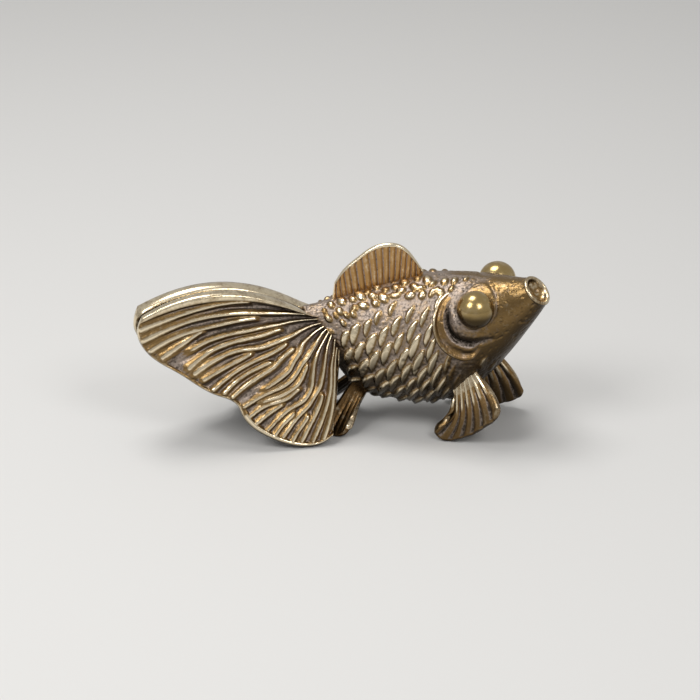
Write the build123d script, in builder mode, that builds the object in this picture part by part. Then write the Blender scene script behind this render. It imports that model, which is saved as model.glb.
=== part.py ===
from build123d import *

import os
from math import cos, pi, radians, sin

# A small cast-brass goldfish with bulging eyes, standing on its double tail and its pectoral fins.
# The straight fish is laid out first: x runs forward from the tail root, side is to the fish's left,
# z is up from the floor. Its spine then bends, and every piece follows that bend.

# Body
BODY_LENGTH = 27.0
BODY_HEIGHT = 15.0
BODY_WIDTH = 11.2
BELLY_HEIGHT = 2.7
SPINE_BEND_RADIUS = 36.0
SPINE_VERTEX_SHARE = 0.52
BODY_PANELS = 24

# Mouth
LIP_RADIUS = 1.75
LIP_PITCH = 44.0
LIP_FORWARD_SHARE = 0.955
LIP_UP_SHARE = 0.96
MOUTH_RADIUS = 1.4
MOUTH_FLOOR_RADIUS = 0.8
MOUTH_DEPTH = 0.8

# Sections of the body from the tail root to the snout, each from the belly line to the back line:
# shares along the length and up the height at the belly, the same at the back, of the width,
# and of the way up from the belly to where the section is widest.
BODY_SECTION_SHARES = (
    (0.015, 0.55, 0.000, 0.75, 0.21, 0.50),
    (0.090, 0.39, 0.063, 0.76, 0.36, 0.50),
    (0.185, 0.15, 0.163, 0.82, 0.64, 0.50),
    (0.304, 0.04, 0.281, 0.88, 0.87, 0.48),
    (0.459, 0.00, 0.452, 0.97, 1.00, 0.48),
    (0.607, 0.04, 0.600, 1.00, 1.00, 0.54),
    (0.745, 0.21, 0.711, 1.01, 0.88, 0.62),
    (0.862, 0.47, 0.800, 1.02, 0.66, 0.60),
    (0.938, 0.69, 0.867, 1.03, 0.45, 0.54),
)

# Scales: the body is quilted into staggered pyramids from the tail root to the gill covers. They stand
# proud by this much where it is widest, and lean towards the tail by a share of the gap between rings.
SCALED_ROWS = 5
SCALE_RINGS = 12
SCALE_PROUD = 0.3
SCALE_LEAN_SHARE = 0.25

# Eyes: domes on short barrels, each in a round socket
EYE_RADIUS = 2.05
EYE_SEAT = 1.1
EYE_SPAN = 8.6
EYE_FORWARD_SHARE = 0.745
EYE_UP_SHARE = 0.87

# Gill covers: crescents behind the cheeks, with a raised rim
GILL_RADIUS = 4.5
GILL_THICKNESS = 0.35
GILL_RIM_WIDTH = 0.5
GILL_RIM_PROUD = 0.25
GILL_FORWARD_SHARE = 0.75
GILL_UP_SHARE = 0.785
GILL_TOP_ANGLE = 115.0
GILL_SWEEP = 165.0
CHEEK_RADIUS = 3.15
CHEEK_RISE = 0.55
CHEEK_TOP_ANGLE = 125.0
CHEEK_SWEEP = 155.0

# Dorsal fin: shares along its base and of its height, from its rear end to its front end
DORSAL_LENGTH = 10.0
DORSAL_HEIGHT = 4.8
DORSAL_THICKNESS = 0.9
DORSAL_RIDGES = 9
DORSAL_REAR_SHARE = 0.115
DORSAL_REAR_UP_SHARE = 0.78
DORSAL_FRONT_UP_SHARE = 0.985
DORSAL_TIP_SHARES = (
    (0.03, 0.40),
    (0.14, 0.68),
    (0.28, 0.85),
    (0.44, 1.00),
    (0.61, 0.99),
    (0.74, 0.87),
    (0.85, 0.62),
    (0.94, 0.30),
    (1.00, 0.08),
)

# Pectoral fins: shares of the spread along the fish, of the reach to the side and of the drop to the floor
PECTORAL_SPREAD = 8.3
PECTORAL_REACH = 5.3
PECTORAL_DROP = 6.8
PECTORAL_THICKNESS = 1.1
PECTORAL_RIDGES = 5
PECTORAL_FORWARD_SHARE = 0.69
PECTORAL_ROOT_SHARES = ((-0.18, 0.62, 0.84), (0.20, 0.62, 1.16))
PECTORAL_TIP_SHARES = {
    "right": (
        (-0.39, 0.92, 0.21),
        (-0.35, 0.93, 0.03),
        (-0.19, 0.95, -0.03),
        (0.02, 0.96, 0.04),
        (0.25, 0.98, 0.18),
        (0.43, 1.00, 0.36),
        (0.59, 1.00, 0.55),
        (0.61, 0.98, 0.73),
    ),
    "left": (
        (-0.47, 0.92, 0.24),
        (-0.40, 0.93, 0.05),
        (-0.21, 0.95, -0.03),
        (0.04, 0.96, -0.03),
        (0.23, 0.97, 0.02),
        (0.40, 0.98, 0.13),
        (0.49, 0.97, 0.24),
        (0.50, 0.95, 0.37),
    ),
}

# Anal fins: a pair under the rear of the belly, spread to the floor beside the tail
ANAL_REACH = 5.0
ANAL_DROP = 4.6
ANAL_SWEEP = 6.0
ANAL_THICKNESS = 0.9
ANAL_RIDGES = 2
ANAL_FORWARD_SHARE = 0.27
ANAL_ROOT_SHARES = ((-0.36, 0.24, 1.10), (0.02, 0.20, 0.95))
ANAL_TIP_SHARES = (
    (-1.00, 0.72, 0.16),
    (-0.88, 0.80, 0.00),
    (-0.72, 0.92, -0.04),
    (-0.58, 0.98, 0.03),
    (-0.46, 0.90, 0.24),
)

# Tail: two fluted halves that lean together above and spread to the floor like a tent.
# The root's shares are of the body; the margin's are back, out to the side and up.
# The valleys' shares run along the margin, from the top edge to the front edge.
TAIL_LENGTH = 18.5
TAIL_HEIGHT = 17.0
TAIL_SPREAD = 6.4
TAIL_ROOT_THICKNESS = 1.3
TAIL_RIM_THICKNESS = 0.85
TAIL_ARCH = 2.7
TAIL_BULGE = 0.5
TAIL_FLATS = 8
TAIL_FLUTE_DEPTH = 0.16
TAIL_VALLEY_SHARES = (
    0.05, 0.10, 0.155, 0.205, 0.285, 0.33, 0.415, 0.455, 0.54, 0.575, 0.62, 0.66, 0.73, 0.80, 0.87, 0.93
)
TAIL_ROOT_SHARES = ((0.040, 0.17, 0.68), (0.140, 0.41, 0.49))
TAIL_MARGIN_SHARES = (
    (0.970, 0.13, 0.88),
    (1.000, 0.17, 0.81),
    (0.950, 0.24, 0.64),
    (0.773, 0.40, 0.50),
    (0.568, 0.60, 0.36),
    (0.457, 0.71, 0.30),
    (0.425, 0.77, 0.22),
    (0.308, 0.88, 0.08),
    (0.146, 0.95, -0.01),
    (-0.040, 0.96, -0.01),
    (-0.120, 0.92, 0.04),
)

# Joinery: every added piece has a square tang in a hole in the body, and a thin line of solder
SOLDER_GAP = 0.03
TANG_WIDTH = 0.6
TANG_DEPTH = 1.5
TANG_CLEARANCE = 0.04
TANG_GRIP = 0.8
TAIL_TANG_GRIP = 2.4
TAIL_TANG_SHARE = 0.5
DORSAL_TANG_SHARES = (0.3, 0.7)

# Fins start this far under the skin before they are trimmed, and are thinner between their ridges
FIN_SINK = 1.2
VALLEY_SHARE = 0.42
RIDGE_SHARE = 0.75

SIDES = {"left": 1, "right": -1}


# Layout of the straight fish and its bent spine

def along(share):
    return share * BODY_LENGTH


def up(share):
    return BELLY_HEIGHT + share * BODY_HEIGHT


def spine_turn(x):
    """Angle by which the fish has turned to its right at x; behind the body the tail runs straight."""
    return (max(x, 0) - along(SPINE_VERTEX_SHARE)) / SPINE_BEND_RADIUS


def heading(x):
    return Vector(cos(spine_turn(x)), -sin(spine_turn(x)), 0)


def leftward(x):
    return Vector(sin(spine_turn(x)), cos(spine_turn(x)), 0)


def bend(x, side, z):
    """Carry a point of the straight fish onto the bent spine."""
    on_spine = SPINE_BEND_RADIUS * Vector(sin(spine_turn(x)), cos(spine_turn(x)) - 1, 0)
    return on_spine + heading(x) * min(x, 0) + leftward(x) * side + Vector(0, 0, z)


def egg_corner(step, half_width, above, below):
    """One corner of an egg-shaped slice in narrow flats, widest along its own x."""
    turn = 2 * pi * step / BODY_PANELS
    height = above if step < BODY_PANELS / 2 else below
    return half_width * cos(turn), height * sin(turn)


def egg(plane, half_width, above, below):
    with BuildSketch(plane) as section:
        with BuildLine():
            Polyline(*[egg_corner(step, half_width, above, below) for step in range(BODY_PANELS)], close=True)
        make_face()
    return section.sketch


def body_slice(shares, grow):
    """The plane of one slice across the line from the belly to the back, and its egg's sizes."""
    belly_share, belly_up_share, back_share, back_up_share, width_share, waist_share = shares
    waist_x = along(belly_share + waist_share * (back_share - belly_share))
    waist_z = up(belly_up_share + waist_share * (back_up_share - belly_up_share))
    lift = Vector(0, 0, up(back_up_share) - up(belly_up_share))
    rise = heading(waist_x) * along(back_share - belly_share) + lift
    plane = Plane(bend(waist_x, 0, waist_z), x_dir=leftward(waist_x), z_dir=leftward(waist_x).cross(rise))
    above = (1 - waist_share) * rise.length
    below = waist_share * rise.length
    return plane, width_share * BODY_WIDTH / 2 + grow, above + grow, below + grow


def body_sections(grow):
    """All slices of the body, thickened by grow; the last one is the round mouth."""
    lips = egg(MOUTH_PLANE, LIP_RADIUS + grow, LIP_RADIUS + grow, LIP_RADIUS + grow)
    return [egg(*body_slice(shares, grow)) for shares in BODY_SECTION_SHARES] + [lips]


def shares_between(station):
    """Section shares at a station between two rows of the table, on a smooth curve through the rows."""
    row = min(int(station), len(BODY_SECTION_SHARES) - 2)
    way = station - row
    four_rows = [BODY_SECTION_SHARES[max(row + offset, 0)] for offset in (-1, 0, 1, 2)]
    shares = []
    for before, start, end, after in zip(*four_rows):
        slope = end - before
        curve = 2 * before - 5 * start + 4 * end - after
        twist = 3 * (start - end) + after - before
        shares.append(start + way / 2 * (slope + way * (curve + way * twist)))
    return shares


def stitched(rings):
    """A closed solid of flat triangles through rings of corners, split so that every other one is a peak."""
    corners = len(rings[0])
    quads = []
    for row in range(len(rings) - 1):
        for step in range(corners):
            beside = (step + 1) % corners
            quad = [rings[row][step], rings[row][beside], rings[row + 1][beside], rings[row + 1][step]]
            quads.append(quad if step % 2 == row % 2 else quad[1:] + quad[:1])
    for ring in (rings[0], rings[-1]):
        for step in range(corners // 2 - 1):
            quads.append([ring[step], ring[step + 1], ring[-2 - step], ring[-1 - step]])
    triangles = []
    for first, second, third, fourth in quads:
        triangles += [(first, second, fourth), (third, fourth, second)]
    return Solid(Shell([Face(Wire.make_polygon(triangle)) for triangle in triangles]))


def scale_ring(ring, grow):
    """Corners round the body at one ring of scales, every other one the peak of a scale."""
    corners = []
    for step in range(BODY_PANELS):
        is_peak = 0 < ring < SCALE_RINGS and step % 2 == ring % 2
        lean = SCALE_LEAN_SHARE if is_peak else 0
        shares = shares_between(SCALED_ROWS * (ring - lean) / SCALE_RINGS)
        width_share = shares[4]
        plane, *sizes = body_slice(shares, grow + (SCALE_PROUD * width_share if is_peak else 0))
        corners.append(plane.from_local_coords((*egg_corner(step, *sizes), 0)))
    return corners


def body_shape(grow):
    """The whole body, thickened by grow: quilted with scales behind the gills, smooth at the head."""
    with BuildPart() as shape:
        add(stitched([scale_ring(ring, grow) for ring in range(SCALE_RINGS + 1)]))
        loft(sections=body_sections(grow)[SCALED_ROWS:])
    return shape.part


LIP_X = along(LIP_FORWARD_SHARE)
MOUTH_PLANE = Plane(
    origin=bend(LIP_X, 0, up(LIP_UP_SHARE)),
    x_dir=leftward(LIP_X),
    z_dir=heading(LIP_X) * cos(radians(LIP_PITCH)) + Vector(0, 0, sin(radians(LIP_PITCH))),
)


def straight_points(rows, length_size, reach_size, drop_size, start, side):
    """Points of the bent fish from rows of shares forward of start, out to one side and up."""
    points = []
    for forward, out, rise in rows:
        points.append(bend(start + forward * length_size, side * out * reach_size, rise * drop_size))
    return points


def ray(root, tip, across, root_half, tip_half):
    """One ray of a fin: a slender blade from its root to its tip, thick along across."""
    run = tip - root
    corners = [(0, -root_half), (run.length, -tip_half), (run.length, tip_half), (0, root_half)]
    with BuildSketch(Plane(origin=root, x_dir=run, z_dir=run.cross(across))) as blade:
        with BuildLine():
            Polyline(*corners, close=True)
        make_face()
    return blade.sketch


def fin_rays(roots, tips, ridges, thickness):
    """Rays that start under the skin at roots and end at tips, thick at each ridge and thin between."""
    across = ((tips @ (1 / 2)) - (roots @ (1 / 2))).cross((roots @ 1) - (roots @ 0))
    blades = []
    for step in range(2 * ridges + 1):
        share = step / (2 * ridges)
        root = roots @ share
        run = ((tips @ share) - root).normalized()
        tip_half = thickness / 2 * (VALLEY_SHARE if step % 2 == 0 else RIDGE_SHARE)
        blades.append(ray(root - run * FIN_SINK, tips @ share, across, thickness / 2, tip_half))
    return blades


def fin_tang(roots, tips, share):
    """The two ends of a tang along the ray at share, from inside the body to inside the fin."""
    run = ((tips @ share) - (roots @ share)).normalized()
    return (roots @ share) - run * TANG_DEPTH, (roots @ share) + run * TANG_GRIP


def tang(ends, clearance):
    """A square tang between two points, or the hole for it when there is a clearance."""
    run = ends[1] - ends[0]
    flat = run.cross(Vector(0, 0, 1))
    width = TANG_WIDTH + 2 * clearance
    with BuildSketch(Plane(origin=ends[0] - run.normalized() * clearance, x_dir=flat, z_dir=run)) as foot:
        Rectangle(width, width)
    return extrude(foot.sketch, amount=run.length + 2 * clearance, mode=Mode.PRIVATE)


# Curves that the fins spring from and reach to

def dorsal_point(share, height):
    x = along(DORSAL_REAR_SHARE) + share * DORSAL_LENGTH
    base = DORSAL_REAR_UP_SHARE + share * (DORSAL_FRONT_UP_SHARE - DORSAL_REAR_UP_SHARE)
    return bend(x, 0, up(base) + height)


DORSAL_ROOTS = Spline(*[dorsal_point(share, 0) for share in (0, 1 / 2, 1)])
DORSAL_TIPS = Spline(*[dorsal_point(share, height * DORSAL_HEIGHT) for share, height in DORSAL_TIP_SHARES])

PECTORAL_SIZES = (PECTORAL_SPREAD, PECTORAL_REACH, PECTORAL_DROP, along(PECTORAL_FORWARD_SHARE))
ANAL_SIZES = (ANAL_SWEEP, ANAL_REACH, ANAL_DROP, along(ANAL_FORWARD_SHARE))
pectoral_roots = {}
pectoral_tips = {}
anal_roots = {}
anal_tips = {}
for name, side in SIDES.items():
    pectoral_roots[name] = Line(*straight_points(PECTORAL_ROOT_SHARES, *PECTORAL_SIZES, side))
    pectoral_tips[name] = Spline(*straight_points(PECTORAL_TIP_SHARES[name], *PECTORAL_SIZES, side))
    anal_roots[name] = Line(*straight_points(ANAL_ROOT_SHARES, *ANAL_SIZES, side))
    anal_tips[name] = Spline(*straight_points(ANAL_TIP_SHARES, *ANAL_SIZES, side))


# Tail halves: arched rays in the straight fish, with the outer skin fluted

TAIL_ROOTS = Line(*[(along(x), out * BODY_WIDTH / 2, up(z)) for x, out, z in TAIL_ROOT_SHARES])
TAIL_MARGIN = Spline(
    *[(-back * TAIL_LENGTH, out * TAIL_SPREAD, z * TAIL_HEIGHT) for back, out, z in TAIL_MARGIN_SHARES]
)


def tail_ray(side, across, facing, flute):
    """One line of a tail half: an arched ray from the root to the margin, on its outer or inner face."""
    root = TAIL_ROOTS @ across
    rim = TAIL_MARGIN @ across
    knee = (root + rim) / 2 + Vector(0, 2 * TAIL_BULGE * across, 2 * TAIL_ARCH * (1 - across) ** 2)
    knee_thickness = (TAIL_ROOT_THICKNESS + TAIL_RIM_THICKNESS) / 2
    points = (
        root + Vector(0, facing * TAIL_ROOT_THICKNESS / 2, 0),
        knee + Vector(0, facing * knee_thickness / 2 + flute, 0),
        rim + Vector(0, facing * TAIL_RIM_THICKNESS / 2 + flute, 0),
    )
    return Bezier(*[bend(point.X, side * point.Y, point.Z) for point in points])


def tail_half(side):
    """One half of the tail, ridged on its outer face: a ridge stands midway between two valleys."""
    valleys = (0, *TAIL_VALLEY_SHARES, 1)
    rays = [(0, -TAIL_FLUTE_DEPTH)]
    for before, after in zip(valleys, valleys[1:]):
        rays += [((before + after) / 2, TAIL_FLUTE_DEPTH), (after, -TAIL_FLUTE_DEPTH)]
    rings = []
    for across, flute in rays:
        outer = tail_ray(side, across, 1, flute)
        inner = tail_ray(side, across, -1, 0)
        steps = [step / TAIL_FLATS for step in range(TAIL_FLATS + 1)]
        rings.append([outer @ step for step in steps] + [inner @ step for step in reversed(steps)])
    return stitched(rings)


def tail_tang(side, across):
    """The two ends of a tang along the middle of a tail half's ray."""
    middle = tail_ray(side, across, 0, 0)
    run = (middle % 0).normalized()
    return (middle @ 0) - run * TANG_DEPTH, (middle @ 0) + run * TAIL_TANG_GRIP


# Eyes

def eye_plane(side):
    x = along(EYE_FORWARD_SHARE)
    return Plane(origin=bend(x, side * EYE_SPAN / 2, up(EYE_UP_SHARE)), z_dir=leftward(x) * side)


def eye_tang(side):
    plane = eye_plane(side)
    return plane.origin - plane.z_dir * (EYE_SEAT + TANG_DEPTH), plane.origin


# Every tang, by the piece that it holds
TANGS = {"dorsal_fin": [fin_tang(DORSAL_ROOTS, DORSAL_TIPS, share) for share in DORSAL_TANG_SHARES]}
for name, side in SIDES.items():
    TANGS[f"{name}_eye"] = [eye_tang(side)]
    TANGS[f"{name}_pectoral_fin"] = [fin_tang(pectoral_roots[name], pectoral_tips[name], 1 / 2)]
    TANGS[f"{name}_anal_fin"] = [fin_tang(anal_roots[name], anal_tips[name], 1 / 2)]
    TANGS[f"{name}_tail_fin"] = [tail_tang(side, TAIL_TANG_SHARE)]

pieces = {}

# The body, with its dished mouth, eye sockets and tang holes
with BuildPart() as body:
    add(body_shape(0))
    with Locations(MOUTH_PLANE.offset(-MOUTH_DEPTH / 2)):
        Cone(MOUTH_FLOOR_RADIUS, MOUTH_RADIUS, MOUTH_DEPTH, mode=Mode.SUBTRACT)
    for side in SIDES.values():
        with BuildSketch(eye_plane(side).offset(-EYE_SEAT - SOLDER_GAP)):
            Circle(EYE_RADIUS + SOLDER_GAP)
        extrude(amount=BODY_WIDTH, mode=Mode.SUBTRACT)
    for ends in sum(TANGS.values(), []):
        add(tang(ends, TANG_CLEARANCE), mode=Mode.SUBTRACT)
pieces["body"] = body.part

# The body's outside, grown by the solder line: fins and gill covers are trimmed to it
with BuildPart() as seat:
    add(body_shape(SOLDER_GAP))

# The dorsal fin
with BuildPart() as dorsal_fin:
    loft(sections=fin_rays(DORSAL_ROOTS, DORSAL_TIPS, DORSAL_RIDGES, DORSAL_THICKNESS), ruled=True)
    add(seat.part, mode=Mode.SUBTRACT)
    for ends in TANGS["dorsal_fin"]:
        add(tang(ends, 0))
pieces["dorsal_fin"] = dorsal_fin.part

for name, side in SIDES.items():
    # An eye: a polished dome on its barrel
    with BuildPart() as eye:
        with Locations(eye_plane(side)):
            Sphere(EYE_RADIUS)
        split(bisect_by=eye_plane(side), keep=Keep.TOP)
        with BuildSketch(eye_plane(side)):
            Circle(EYE_RADIUS)
        extrude(amount=-EYE_SEAT)
        add(tang(TANGS[f"{name}_eye"][0], 0))
    pieces[f"{name}_eye"] = eye.part

    # A pectoral fin, flat where it stands
    with BuildPart() as pectoral_fin:
        rays = fin_rays(pectoral_roots[name], pectoral_tips[name], PECTORAL_RIDGES, PECTORAL_THICKNESS)
        loft(sections=rays, ruled=True)
        add(seat.part, mode=Mode.SUBTRACT)
        split(bisect_by=Plane.XY, keep=Keep.TOP)
        add(tang(TANGS[f"{name}_pectoral_fin"][0], 0))
    pieces[f"{name}_pectoral_fin"] = pectoral_fin.part

    # An anal fin
    with BuildPart() as anal_fin:
        rays = fin_rays(anal_roots[name], anal_tips[name], ANAL_RIDGES, ANAL_THICKNESS)
        loft(sections=rays, ruled=True)
        add(seat.part, mode=Mode.SUBTRACT)
        split(bisect_by=Plane.XY, keep=Keep.TOP)
        add(tang(TANGS[f"{name}_anal_fin"][0], 0))
    pieces[f"{name}_anal_fin"] = anal_fin.part

    # A tail half, flat where it stands
    with BuildPart() as tail_fin:
        add(tail_half(side))
        add(seat.part, mode=Mode.SUBTRACT)
        split(bisect_by=Plane.XY, keep=Keep.TOP)
        add(tang(TANGS[f"{name}_tail_fin"][0], 0))
    pieces[f"{name}_tail_fin"] = tail_fin.part

# The gill covers: a crescent plate and its rim, both following the head
GILL_X = along(GILL_FORWARD_SHARE)
GILL_PLANE = Plane(
    origin=bend(GILL_X, 0, up(GILL_UP_SHARE)),
    x_dir=heading(GILL_X),
    z_dir=-leftward(GILL_X),
)

with BuildSketch(GILL_PLANE) as crescent:
    with BuildLine():
        outer = CenterArc((0, 0), GILL_RADIUS, GILL_TOP_ANGLE, GILL_SWEEP)
        inner = CenterArc((0, CHEEK_RISE), CHEEK_RADIUS, CHEEK_TOP_ANGLE, CHEEK_SWEEP)
        Line(outer @ 0, inner @ 0)
        Line(outer @ 1, inner @ 1)
    make_face()

with BuildSketch(GILL_PLANE) as rim:
    add(crescent.sketch_local)
    Circle(GILL_RADIUS - GILL_RIM_WIDTH, mode=Mode.SUBTRACT)

for name, side in SIDES.items():
    with BuildPart() as gill_plate:
        loft(sections=body_sections(GILL_THICKNESS))
        extrude(crescent.sketch, amount=-side * BODY_WIDTH, mode=Mode.INTERSECT)

    with BuildPart() as gill_cover:
        loft(sections=body_sections(GILL_THICKNESS + GILL_RIM_PROUD))
        extrude(rim.sketch, amount=-side * BODY_WIDTH, mode=Mode.INTERSECT)
        add(gill_plate.part)
        add(seat.part, mode=Mode.SUBTRACT)
    pieces[f"{name}_gill_cover"] = gill_cover.part

# Stand the fish over the middle of its own footprint and write each piece
boxes = [piece.bounding_box() for piece in pieces.values()]
middle_x = (min(box.min.X for box in boxes) + max(box.max.X for box in boxes)) / 2
middle_y = (min(box.min.Y for box in boxes) + max(box.max.Y for box in boxes)) / 2

os.makedirs("parts", exist_ok=True)
for name, piece in pieces.items():
    placed = piece.moved(Location((-middle_x, -middle_y, 0)))
    placed.label = name
    export_step(placed, f"parts/{name}.step")
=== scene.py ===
# %% [markdown]
# # A cast-brass goldfish
# The frame holds the fish's solids at their real size, in metres. They have its main forms, the larger
# scales and the flutes of its fins, but no beads, fine ridges or age. This lesson replaces each solid with
# a fine mesh that has them, and then gives the brass its bright worn edges and its brown hollows. All
# lengths below are in millimetres until a mesh is made.

# %% Load the frame
import math

import bmesh
import bpy
import numpy as np
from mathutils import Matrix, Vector, noise
from mathutils.bvhtree import BVHTree


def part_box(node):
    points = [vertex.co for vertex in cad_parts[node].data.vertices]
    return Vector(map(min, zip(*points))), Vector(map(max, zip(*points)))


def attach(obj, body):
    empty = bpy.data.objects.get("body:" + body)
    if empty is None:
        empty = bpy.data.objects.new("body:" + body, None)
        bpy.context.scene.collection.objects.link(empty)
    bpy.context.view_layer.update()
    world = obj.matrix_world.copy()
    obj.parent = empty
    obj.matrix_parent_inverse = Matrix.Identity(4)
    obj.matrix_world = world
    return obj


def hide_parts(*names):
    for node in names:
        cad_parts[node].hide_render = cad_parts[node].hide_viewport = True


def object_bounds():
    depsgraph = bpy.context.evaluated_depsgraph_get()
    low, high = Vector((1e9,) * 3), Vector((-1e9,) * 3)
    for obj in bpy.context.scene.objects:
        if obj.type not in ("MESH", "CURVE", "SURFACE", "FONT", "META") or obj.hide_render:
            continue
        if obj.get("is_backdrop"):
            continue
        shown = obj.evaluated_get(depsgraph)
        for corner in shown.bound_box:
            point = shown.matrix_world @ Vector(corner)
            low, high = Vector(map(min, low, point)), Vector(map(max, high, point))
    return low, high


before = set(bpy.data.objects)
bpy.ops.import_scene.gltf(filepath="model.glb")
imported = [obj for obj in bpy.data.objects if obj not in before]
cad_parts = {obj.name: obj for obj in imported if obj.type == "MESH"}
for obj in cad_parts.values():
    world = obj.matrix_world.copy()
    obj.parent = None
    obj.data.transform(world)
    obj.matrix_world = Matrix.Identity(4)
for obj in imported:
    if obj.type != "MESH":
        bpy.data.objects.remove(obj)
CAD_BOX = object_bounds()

print("nodes in the frame:", sorted(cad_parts))

# %% [markdown]
# ## The bent spine
# The fish is laid out straight, because shapes are easy to think about there: forward from the tail root,
# to its left, and up from the floor. One function then bends every point onto a spine that curves to the
# fish's right at both ends. Bending numbers, and not a finished mesh, keeps all pieces on the same curve.

# %% Bend points onto the spine
MM = 0.001
BODY_LENGTH = 27.0
BODY_HEIGHT = 15.0
BODY_WIDTH = 11.2
BELLY_HEIGHT = 2.7
SPINE_BEND_RADIUS = 36.0
SPINE_VERTEX = 0.52 * BODY_LENGTH
SIDES = {"left": 1, "right": -1}
UPWARD = np.array([0.0, 0.0, 1.0])


def spine_axes(forward):
    """The spine's point, its heading and its leftward direction at a length along the fish."""
    forward = np.asarray(forward, float)
    turn = (np.maximum(forward, 0) - SPINE_VERTEX) / SPINE_BEND_RADIUS
    flat = np.zeros_like(turn)
    heading = np.stack([np.cos(turn), -np.sin(turn), flat], -1)
    leftward = np.stack([np.sin(turn), np.cos(turn), flat], -1)
    spine = SPINE_BEND_RADIUS * np.stack([np.sin(turn), np.cos(turn) - 1, flat], -1)
    return spine + heading * np.minimum(forward, 0)[..., None], heading, leftward


def bend(points):
    """Carry points (forward, left, up) of the straight fish onto the bent spine."""
    points = np.asarray(points, float)
    spine, heading, leftward = spine_axes(points[..., 0])
    level = spine + leftward * points[..., 1:2]
    return level + points[..., 2:3] * UPWARD


print("tail root at", bend([0, 0, 0]).round(2), "and lips near", bend([BODY_LENGTH, 0, 0]).round(2))

# %% [markdown]
# ## Where the fish stands
# The solids stand over the middle of their own footprint, so the bent fish has to move sideways to meet
# them. An eye is a ball, and the far corner of its box is one radius from its centre, so two eyes give the
# shift.

# %% Find the shift from the eyes
EYE_RADIUS = 2.05
EYE_SPAN = 8.6
EYE_FORWARD = 0.745 * BODY_LENGTH
EYE_UP = BELLY_HEIGHT + 0.87 * BODY_HEIGHT


def eye_centre(side):
    return bend([EYE_FORWARD, side * EYE_SPAN / 2, EYE_UP])


left_corner = np.array(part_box("left_eye")[1]) / MM - EYE_RADIUS
right_corner = np.array(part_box("right_eye")[0]) / MM + EYE_RADIUS
SHIFT = (left_corner - eye_centre(1) + right_corner - eye_centre(-1)) / 2
SHIFT[2] = 0
print("shift of the bent fish:", SHIFT.round(3))

# %% [markdown]
# ## Camera, floor and light
# The camera looks down a little at the fish's right side, from far off through a long lens, as the
# photograph does. The floor is plain and pale. Two soft boxes in front and one above give cast metal long
# soft reflections; the world is pale where it is seen or mirrored, and gives only a little light of its
# own.

# %% Place the camera
VIEW_AZIMUTH = math.radians(9)
VIEW_ELEVATION = math.radians(25)
CAMERA_DISTANCE = 300.0
PIXELS_PER_MM = 9.05
PICTURE_WIDTH = 700
AIM_BEHIND_VERTEX = 9.0
AIM_UP = 7.78


def direction(azimuth, elevation):
    """Unit vector from the fish towards a place; azimuth 0 is in front of its right side."""
    level = math.cos(elevation)
    return np.array([math.sin(azimuth) * level, -math.cos(azimuth) * level, math.sin(elevation)])


scene = bpy.context.scene
AIM = SHIFT + np.array([-AIM_BEHIND_VERTEX, 0, AIM_UP])
camera = bpy.data.objects.new("camera", bpy.data.cameras.new("camera"))
scene.collection.objects.link(camera)
back = direction(VIEW_AZIMUTH, VIEW_ELEVATION)
camera.location = (AIM + back * CAMERA_DISTANCE) * MM
camera.rotation_euler = Vector(-back).to_track_quat("-Z", "Y").to_euler()
camera.data.lens = camera.data.sensor_width * PIXELS_PER_MM * CAMERA_DISTANCE / PICTURE_WIDTH
camera.data.clip_start = 0.01
scene.camera = camera
scene.view_settings.view_transform = "Standard"
print("lens", round(camera.data.lens, 1), "mm")

# %% Lay the floor
FLOOR_SIZE = 1600.0
FLOOR_COLOUR = (0.72, 0.71, 0.69, 1)

bpy.ops.mesh.primitive_plane_add(size=FLOOR_SIZE * MM)
floor = bpy.context.object
floor.name = "floor"
floor_paint = bpy.data.materials.new("pale_floor")
floor_paint.use_nodes = True
floor_shader = floor_paint.node_tree.nodes["Principled BSDF"]
floor_shader.inputs["Base Color"].default_value = FLOOR_COLOUR
floor_shader.inputs["Roughness"].default_value = 0.8
floor_shader.inputs["Specular IOR Level"].default_value = 0.2
floor.data.materials.append(floor_paint)
floor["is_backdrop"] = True

# %% Hang the lights
# Each row: name, azimuth and elevation in degrees, distance, width, brightness of its face
SOFT_BOXES = (
    ("left_box", -40, 46, 260.0, 100.0, 7.0),
    ("right_box", 42, 44, 260.0, 80.0, 6.5),
    ("top_box", -120, 74, 280.0, 120.0, 7.5),
)


def soft_box(name, azimuth, elevation, distance, width, brightness):
    """A square lamp facing the fish; its power follows from how bright its face looks."""
    lamp = bpy.data.lights.new(name, "AREA")
    lamp.size = width * MM
    lamp.energy = brightness * math.pi * lamp.size ** 2
    box = bpy.data.objects.new(name, lamp)
    scene.collection.objects.link(box)
    towards = direction(math.radians(azimuth), math.radians(elevation))
    box.location = (AIM + towards * distance) * MM
    box.rotation_euler = Vector(-towards).to_track_quat("-Z", "Y").to_euler()


for row in SOFT_BOXES:
    soft_box(*row)

print("lights:", [row[0] for row in SOFT_BOXES])

# %% Make the air pale
WORLD_PALE = (0.45, 0.45, 0.45, 1)
WORLD_LIGHT = 0.42


def value_node(tree, operation, first, second, third=0.0):
    """A Math node whose inputs are sockets or plain numbers."""
    node = tree.nodes.new("ShaderNodeMath")
    node.operation = operation
    for socket, given in zip(node.inputs, (first, second, third)):
        if isinstance(given, (int, float)):
            socket.default_value = given
        else:
            tree.links.new(given, socket)
    return node.outputs[0]


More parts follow.
